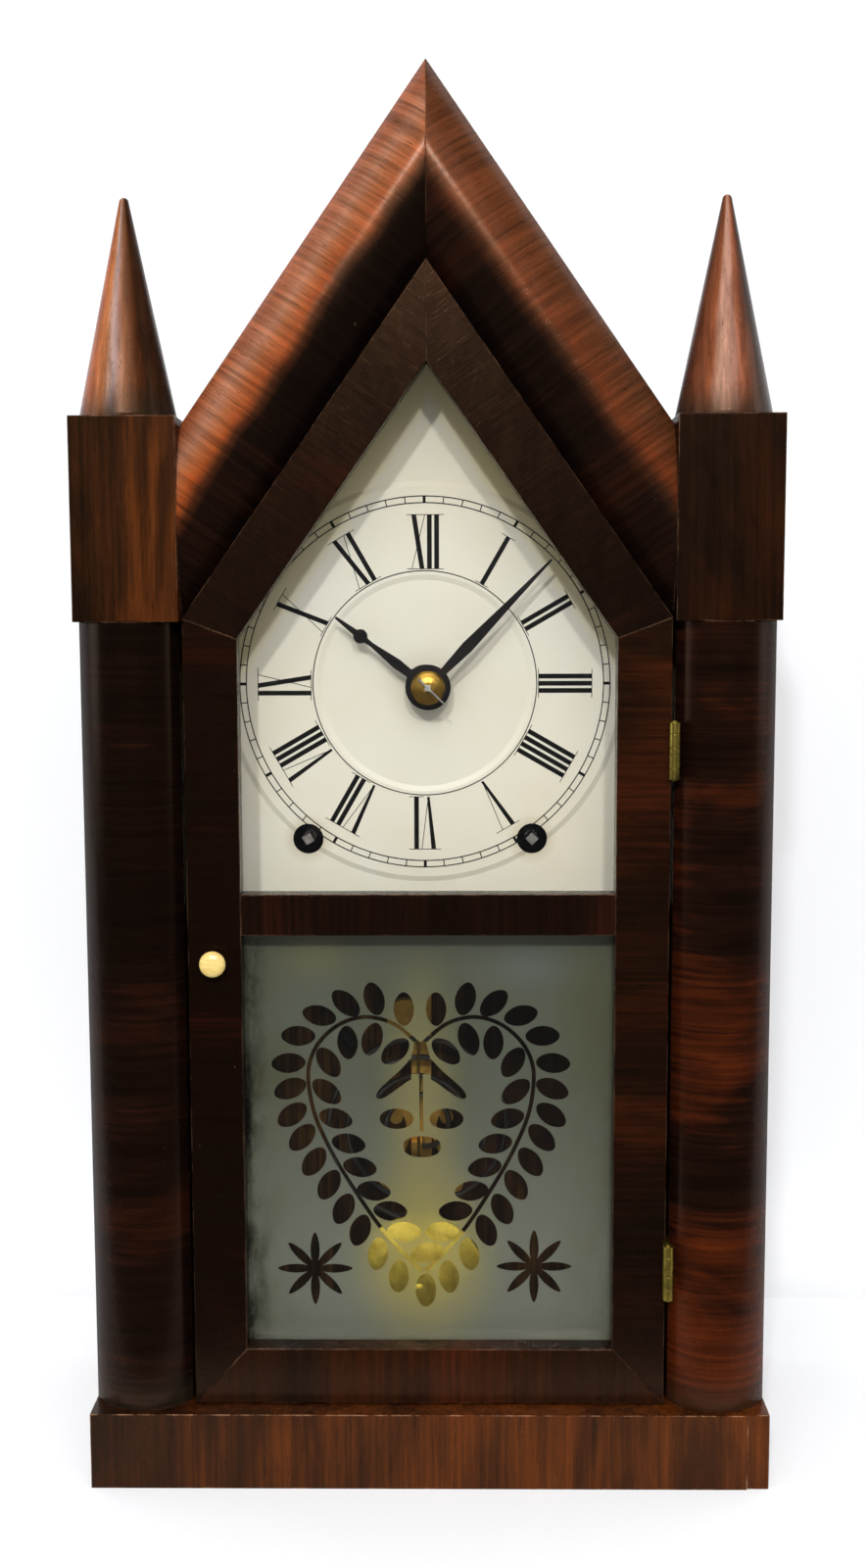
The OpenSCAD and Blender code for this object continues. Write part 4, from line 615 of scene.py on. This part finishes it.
# Strokes of a letter as (foot x, head x, width, share of the width left at the foot), and its foot's reach
LETTERS = {
    "I": (((0, 0, THICK, 1),), (-0.9, 0.9)),
    "V": (((0, -2.0, THICK, 0.55), (0, 2.4, THIN, 1)), None),
    "X": (((1.5, -1.5, THICK, 1), (-2.2, 2.5, THIN, 1)), (-2.2, 2.4)),
}
SPACING = {"II": 2.65, "XI": 4.2, "VI": 4.4, "IX": 4.3}


def strokes(word):
    """Strokes as (foot x, head x, width, taper), and the reaches of the feet."""
    out, feet, x = [], [], 0.0
    for before, letter in zip(" " + word, word):
        x += SPACING.get(before + letter, 0.0)
        bars, reach = LETTERS[letter]
        out += [(x + foot, x + head, width, taper) for foot, head, width, taper in bars]
        if reach:
            feet.append((x + reach[0], x + reach[1]))
    return out, feet


def numerals():
    bm = bmesh.new()
    for h, word in enumerate(GLYPHS):
        parts, feet = strokes(word)
        heads = [head for _, head, _, _ in parts]
        every = heads + [foot for foot, _, _, _ in parts]
        mid = (min(every) + max(every)) / 2
        a = 2 * pi * h / 12

        def at(x, r):
            return (DIAL[0] + r * sin(a) + (x - mid) * cos(a), DIAL[1] + r * cos(a) - (x - mid) * sin(a))

        def line(lo, hi, r0, r1):
            prism(bm, [at(lo, r0), at(hi, r0), at(hi, r1), at(lo, r1)], *INK)

        for foot, head, w, taper in parts:
            tip = w * taper
            r0, r1 = NUM_IN + INSET, NUM_OUT - INSET
            ends = ((foot - tip / 2, r0), (foot + tip / 2, r0), (head + w / 2, r1), (head - w / 2, r1))
            prism(bm, [at(*end) for end in ends], *INK)
        # Serifs: a hair line over the whole figure, and one under every foot that stands
        line(min(heads) - HEAD_RUN, max(heads) + HEAD_RUN, NUM_OUT - SERIF, NUM_OUT)
        if feet:
            lo, hi = min(f[0] for f in feet), max(f[1] for f in feet)
            line(lo - FOOT_RUN, hi + FOOT_RUN, NUM_IN, NUM_IN + SERIF)
    return bm


# Circles as (radius, half width), and ticks as (inner radius, outer radius, half width)
CIRCLES = ((66.0, 0.2), (68.4, 0.2), (41.35, 0.19))
HOUR_TICK, MINUTE_TICK = (65.8, 68.6, 0.55), (66.0, 68.4, 0.19)


def track():
    bm = bmesh.new()
    for r, half in CIRCLES:
        ring(bm, *DIAL, r - half, r + half, *INK)
    for k in range(60):
        a = 2 * pi * k / 60
        r0, r1, w = MINUTE_TICK if k % 5 else HOUR_TICK
        corners = ((r0, -1), (r0, 1), (r1, 1), (r1, -1))
        prism(bm, [(DIAL[0] + r * sin(a) + s * w * cos(a), DIAL[1] + r * cos(a) - s * w * sin(a))
                   for r, s in corners], *INK)
    return bm


print_ink = ink()
piece("dial_numerals", numerals(), print_ink, "case")
piece("dial_minute_track", track(), print_ink, "case")


# ---------------------------------------------------------------- tablet
# A frosted film on the back of the lower glass, with a wreath, a bow and two stars left clear.
# The wreath and the bow are given for the right side in millimetres, x from the middle of the wreath
WREATH_X = -2.6
TABLET = [(-68.6, 48.0), (68.6, 48.0), (68.6, 205.6), (-68.6, 205.6)]
STEM = [(0, 161.3), (8.8, 168.9), (17.2, 171.8), (24.5, 171.3), (31.8, 167.8), (38.0, 161.3), (41.2, 153.2),
        (41.0, 143.5), (38.6, 133), (32.8, 119.9), (26.6, 109), (17.2, 94.3), (8.8, 84), (0.6, 75.5)]
# Leaves as x, z and heading
OUTER = [(5.9, 174.9, 90), (16.7, 178.7, 76), (27.1, 177.1, 43), (36.9, 172.5, 14), (44.8, 164.9, 1),
         (48.6, 154.7, -4), (48.2, 145.1, -22), (47.7, 135.2, -36), (44.2, 126.6, -47), (40.0, 117.4, -54),
         (34.6, 108.6, -60), (29.4, 99.4, -65), (23.4, 91.2, -70), (17.0, 82.1, -81), (9.3, 73.4, -84)]
INNER_LEAVES = [(9.3, 159.1, -42), (17.7, 163.7, -72), (26.75, 162.4, 87), (33.9, 155.0, 57),
                (34.8, 144.0, 40), (31.7, 133.8, 14), (27.1, 124.3, 10), (23.1, 115.3, 10),
                (18.1, 106.3, 7), (12.1, 98.6, 5), (7.1, 90.7, 3)]
TAIL = [(3.6, 156.5), (7.8, 151.9), (12.0, 148.1), (15.4, 144.8), (16.6, 142.2), (15.6, 141.2),
        (13.2, 141.9), (9.0, 144.8), (5.4, 147.5), (3.6, 148.5)]
KNOT = [(-2.0, 162.6), (2.0, 162.6), (3.2, 158.0), (4.1, 152.4), (4.1, 150.6), (-4.1, 150.6), (-4.1, 152.4),
        (-3.2, 158.0)]
CORD = [(-0.7, 152), (0.7, 152), (0.6, 128.9), (-0.6, 128.9)]
STARS = ((-42.5, 76.5), (38.9, 77.4))
LEAF, LOOP, RAY = (12.7, 7.6), (12.7, 7.8), (13.8, 3.5)
STEM_WIDTH, STAR_HUB, RAY_AT = 1.5, 2.7, 7.1
# The painted wreath stands a little askew in its glass: how much, and about which height
LEAN, LEAN_ABOUT = 0.011, 124
# Front and back of the film, behind the glass
FILM = (0.02, 0.07)


def smooth(points, n=10):
    """Catmull-Rom curve through the points."""
    p = [points[0]] + points + [points[-1]]
    out = []
    for i in range(1, len(p) - 2):
        for k in range(n):
            t = k / n
            out.append(tuple(
                0.5 * (2 * p[i][j] + (p[i + 1][j] - p[i - 1][j]) * t
                       + (2 * p[i - 1][j] - 5 * p[i][j] + 4 * p[i + 1][j] - p[i + 2][j]) * t * t
                       + (3 * p[i][j] - 3 * p[i + 1][j] + p[i + 2][j] - p[i - 1][j]) * t ** 3)
                for j in (0, 1)))
    out.append(points[-1])
    return out


def leaf(cx, cz, angle, length, width, n=20, point=0.12):
    pts = []
    for i in range(n):
        t = 2 * pi * i / n
        u = cos(t) * length / 2
        v = sin(t) * width / 2 * (1 - point * cos(t) ** 2)
        pts.append((cx + u * cos(angle) - v * sin(angle), cz + u * sin(angle) + v * cos(angle)))
    return pts


def strip(path, width):
    left, right = [], []
    for i, p in enumerate(path):
        a, b = path[max(i - 1, 0)], path[min(i + 1, len(path) - 1)]
        d = hypot(b[0] - a[0], b[1] - a[1]) or 1
        w = width / 2
        nx, nz = -(b[1] - a[1]) / d * w, (b[0] - a[0]) / d * w
        left.append((p[0] + nx, p[1] + nz))
        right.append((p[0] - nx, p[1] - nz))
    return left + right[::-1]


def placed(points, side=1):
    return [(WREATH_X + side * x, z) for x, z in points]


def bud():
    """The flattened oval under the bow, fuller below."""
    pts = []
    for a in range(0, 360, 12):
        c, q = cos(radians(a)), sin(radians(a))
        pts.append((6.9 * c, 123.4 + (3.7 if q > 0 else 4.3) * (abs(q) ** 0.7) * (1 if q > 0 else -1)))
    return pts


def clear_shapes():
    wreath = []
    half = smooth(STEM)
    for side in (-1, 1):
        wreath.append(strip(placed(half, side), STEM_WIDTH))
        for x, z, a in OUTER + INNER_LEAVES:
            heading = radians(a) if side > 0 else pi - radians(a)
            wreath.append(leaf(WREATH_X + side * x, z, heading, *LEAF))
        # Bow: a ribbon end, and a side loop
        wreath.append(placed(smooth(TAIL, 4), side))
        wreath.append(leaf(WREATH_X + side * 9.15, 133.7, 0, *LOOP, 24, 0))
    wreath += [placed(KNOT), placed(CORD), placed(bud())]
    wreath.append(leaf(WREATH_X + 1.2, 82.6, radians(15), 12.5, 7.4))
    shapes = [[(x - LEAN * (z - LEAN_ABOUT), z) for x, z in points] for points in wreath]
    shapes.append(leaf(-1.3, 68.2, pi / 2, 12.9, 7.7, 24, 0.05))
    for cx, cz in STARS:
        rim = [radians(a) for a in range(0, 360, 30)]
        shapes.append([(cx + STAR_HUB * cos(a), cz + STAR_HUB * sin(a)) for a in rim])
        for k in range(8):
            a = k * pi / 4
            shapes.append(leaf(cx + RAY_AT * cos(a), cz + RAY_AT * sin(a), a, *RAY, 16, 0.3))
    return shapes


def frosted_film():
    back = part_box("lower_glass")[1].y / MM
    y0, y1 = back + FILM[0], back + FILM[1]
    bm = bmesh.new()
    prism(bm, TABLET, y0, y1)
    film = piece("tablet_frost", bm, frosting(), "door")
    # Cutters of slightly different depths, so that faces of two that overlap don't share a plane
    bm = bmesh.new()
    for i, pts in enumerate(clear_shapes()):
        off = 0.002 * (i % 7)
        prism(bm, pts, y0 - 1 - off, y1 + 1 + off)
    cutter = to_object("cutter", bm)
    mod = film.modifiers.new("clear", "BOOLEAN")
    mod.operation = "DIFFERENCE"
    mod.solver = "EXACT"
    mod.use_self = True
    mod.object = cutter
    bpy.context.view_layer.update()
    cut = bpy.data.meshes.new_from_object(film.evaluated_get(bpy.context.evaluated_depsgraph_get()))
    film.modifiers.clear()
    whole, film.data = film.data, cut
    spent = cutter.data
    bpy.data.objects.remove(cutter)
    for mesh in (whole, spent):
        bpy.data.meshes.remove(mesh)


frosted_film()


# ---------------------------------------------------------------- studio
# The floor ends a little in front of the clock, so that the glass mirrors nothing pale
FLOOR = ((-3, -0.13, 0), (3, -0.13, 0), (3, 3, 0), (-3, 3, 0))
WALL_Y, WALL_BEND, WALL_FOOT, WALL_TOP, WALL_HALF = 0.16, 0.05, 0.0003, 4, 4
# Room light for matt surfaces; polished ones mirror a darker room
MATT_ROOM, GLOSSY_ROOM = (0.46, 0.46, 0.464, 1), (0.08, 0.081, 0.084, 1)
# Name, place, size, watts and colour. All point at the middle of the clock
LAMPS = (
    ("key_left", (-0.36, -2.05, 1.38), (0.1, 0.1), 17, (0.98, 0.99, 1)),
    ("key_right", (0.2, -2.05, 1.3), (0.11, 0.11), 13.5, (1, 0.99, 0.97)),
    ("soft_front", (0, -1.95, 1.9), (2.4, 0.9), 15, (1, 1, 1)),
    ("soft_top", (0, -1.0, 2.3), (2.0, 1.0), 7, (1, 1, 1)),
    ("soft_left", (-2.2, -0.5, 0.8), (0.8, 1.4), 12, (1, 1, 1)),
    ("soft_right", (2.2, -0.4, 0.8), (0.8, 1.4), 9, (1, 1, 1)),
)
LAMP_TARGET = Vector((0, 0, 0.25))


def paper(name, glow):
    """Pale paper with a little light of its own for the eye, mirrors and glass."""
    m = Mat(name, Roughness=0.85, Specular_IOR_Level=0.2, Emission_Color=WHITE)
    path = m.add("ShaderNodeLightPath").outputs
    seen = m.math("ADD", path["Is Camera Ray"], path["Is Glossy Ray"])
    seen = m.math("ADD", seen, path["Is Transmission Ray"])
    m.put(m.b, "Emission Strength", m.math("MULTIPLY", seen, glow))
    m.done(m.ramp(m.noise(3, 3), [(0.3, (0.80, 0.81, 0.83, 1)), (0.7, (0.84, 0.84, 0.85, 1))]))
    return m


def floor_and_wall():
    """Floor, with a wall close behind that curves up from it and is seen from its front alone."""
    bm = bmesh.new()
    bm.faces.new([bm.verts.new(p) for p in FLOOR])
    floor = to_object("floor", bm, paper("floor_paper", 0.16).m)
    bm = bmesh.new()
    y, r = WALL_Y, WALL_BEND
    bend = [radians(a) for a in range(0, 91, 10)]
    prof = [(y - r + r * sin(a), WALL_FOOT + r - r * cos(a)) for a in bend]
    prof.append((y, WALL_TOP))
    rows = [[bm.verts.new((x, py, pz)) for py, pz in prof] for x in (-WALL_HALF, WALL_HALF)]
    for i in range(len(prof) - 1):
        bm.faces.new((rows[0][i], rows[1][i], rows[1][i + 1], rows[0][i + 1])).smooth = True
    one_sided = paper("wall_paper", 0.08)
    one_sided.thin(one_sided.add("ShaderNodeNewGeometry").outputs["Backfacing"])
    wall = to_object("wall", bm, one_sided.m)


def world():
    w = bpy.data.worlds.new("studio")
    bpy.context.scene.world = w
    w.use_nodes = True
    t = Tree(w.node_tree)
    path = t.add("ShaderNodeLightPath").outputs
    room = t.mix(path["Is Glossy Ray"], MATT_ROOM, GLOSSY_ROOM)
    # White to the eye, and through glass unless the glass has mirrored the ray
    through = t.math("SUBTRACT", path["Is Transmission Ray"], path["Glossy Depth"])
    seen = t.math("MAXIMUM", path["Is Camera Ray"], through)
    t.put(w.node_tree.nodes["Background"], "Color", t.mix(seen, room, WHITE))


def lamp(name, where, size, power, color):
    data = bpy.data.lights.new(name, "AREA")
    data.shape = "RECTANGLE"
    data.size, data.size_y = size
    data.energy = power
    data.color = color
    o = link(bpy.data.objects.new(name, data))
    o.location = where
    o.rotation_euler = (LAMP_TARGET - Vector(where)).to_track_quat("-Z", "Y").to_euler()


floor_and_wall()
world()
for row in LAMPS:
    lamp(*row)
bpy.context.scene.view_settings.view_transform = "Standard"
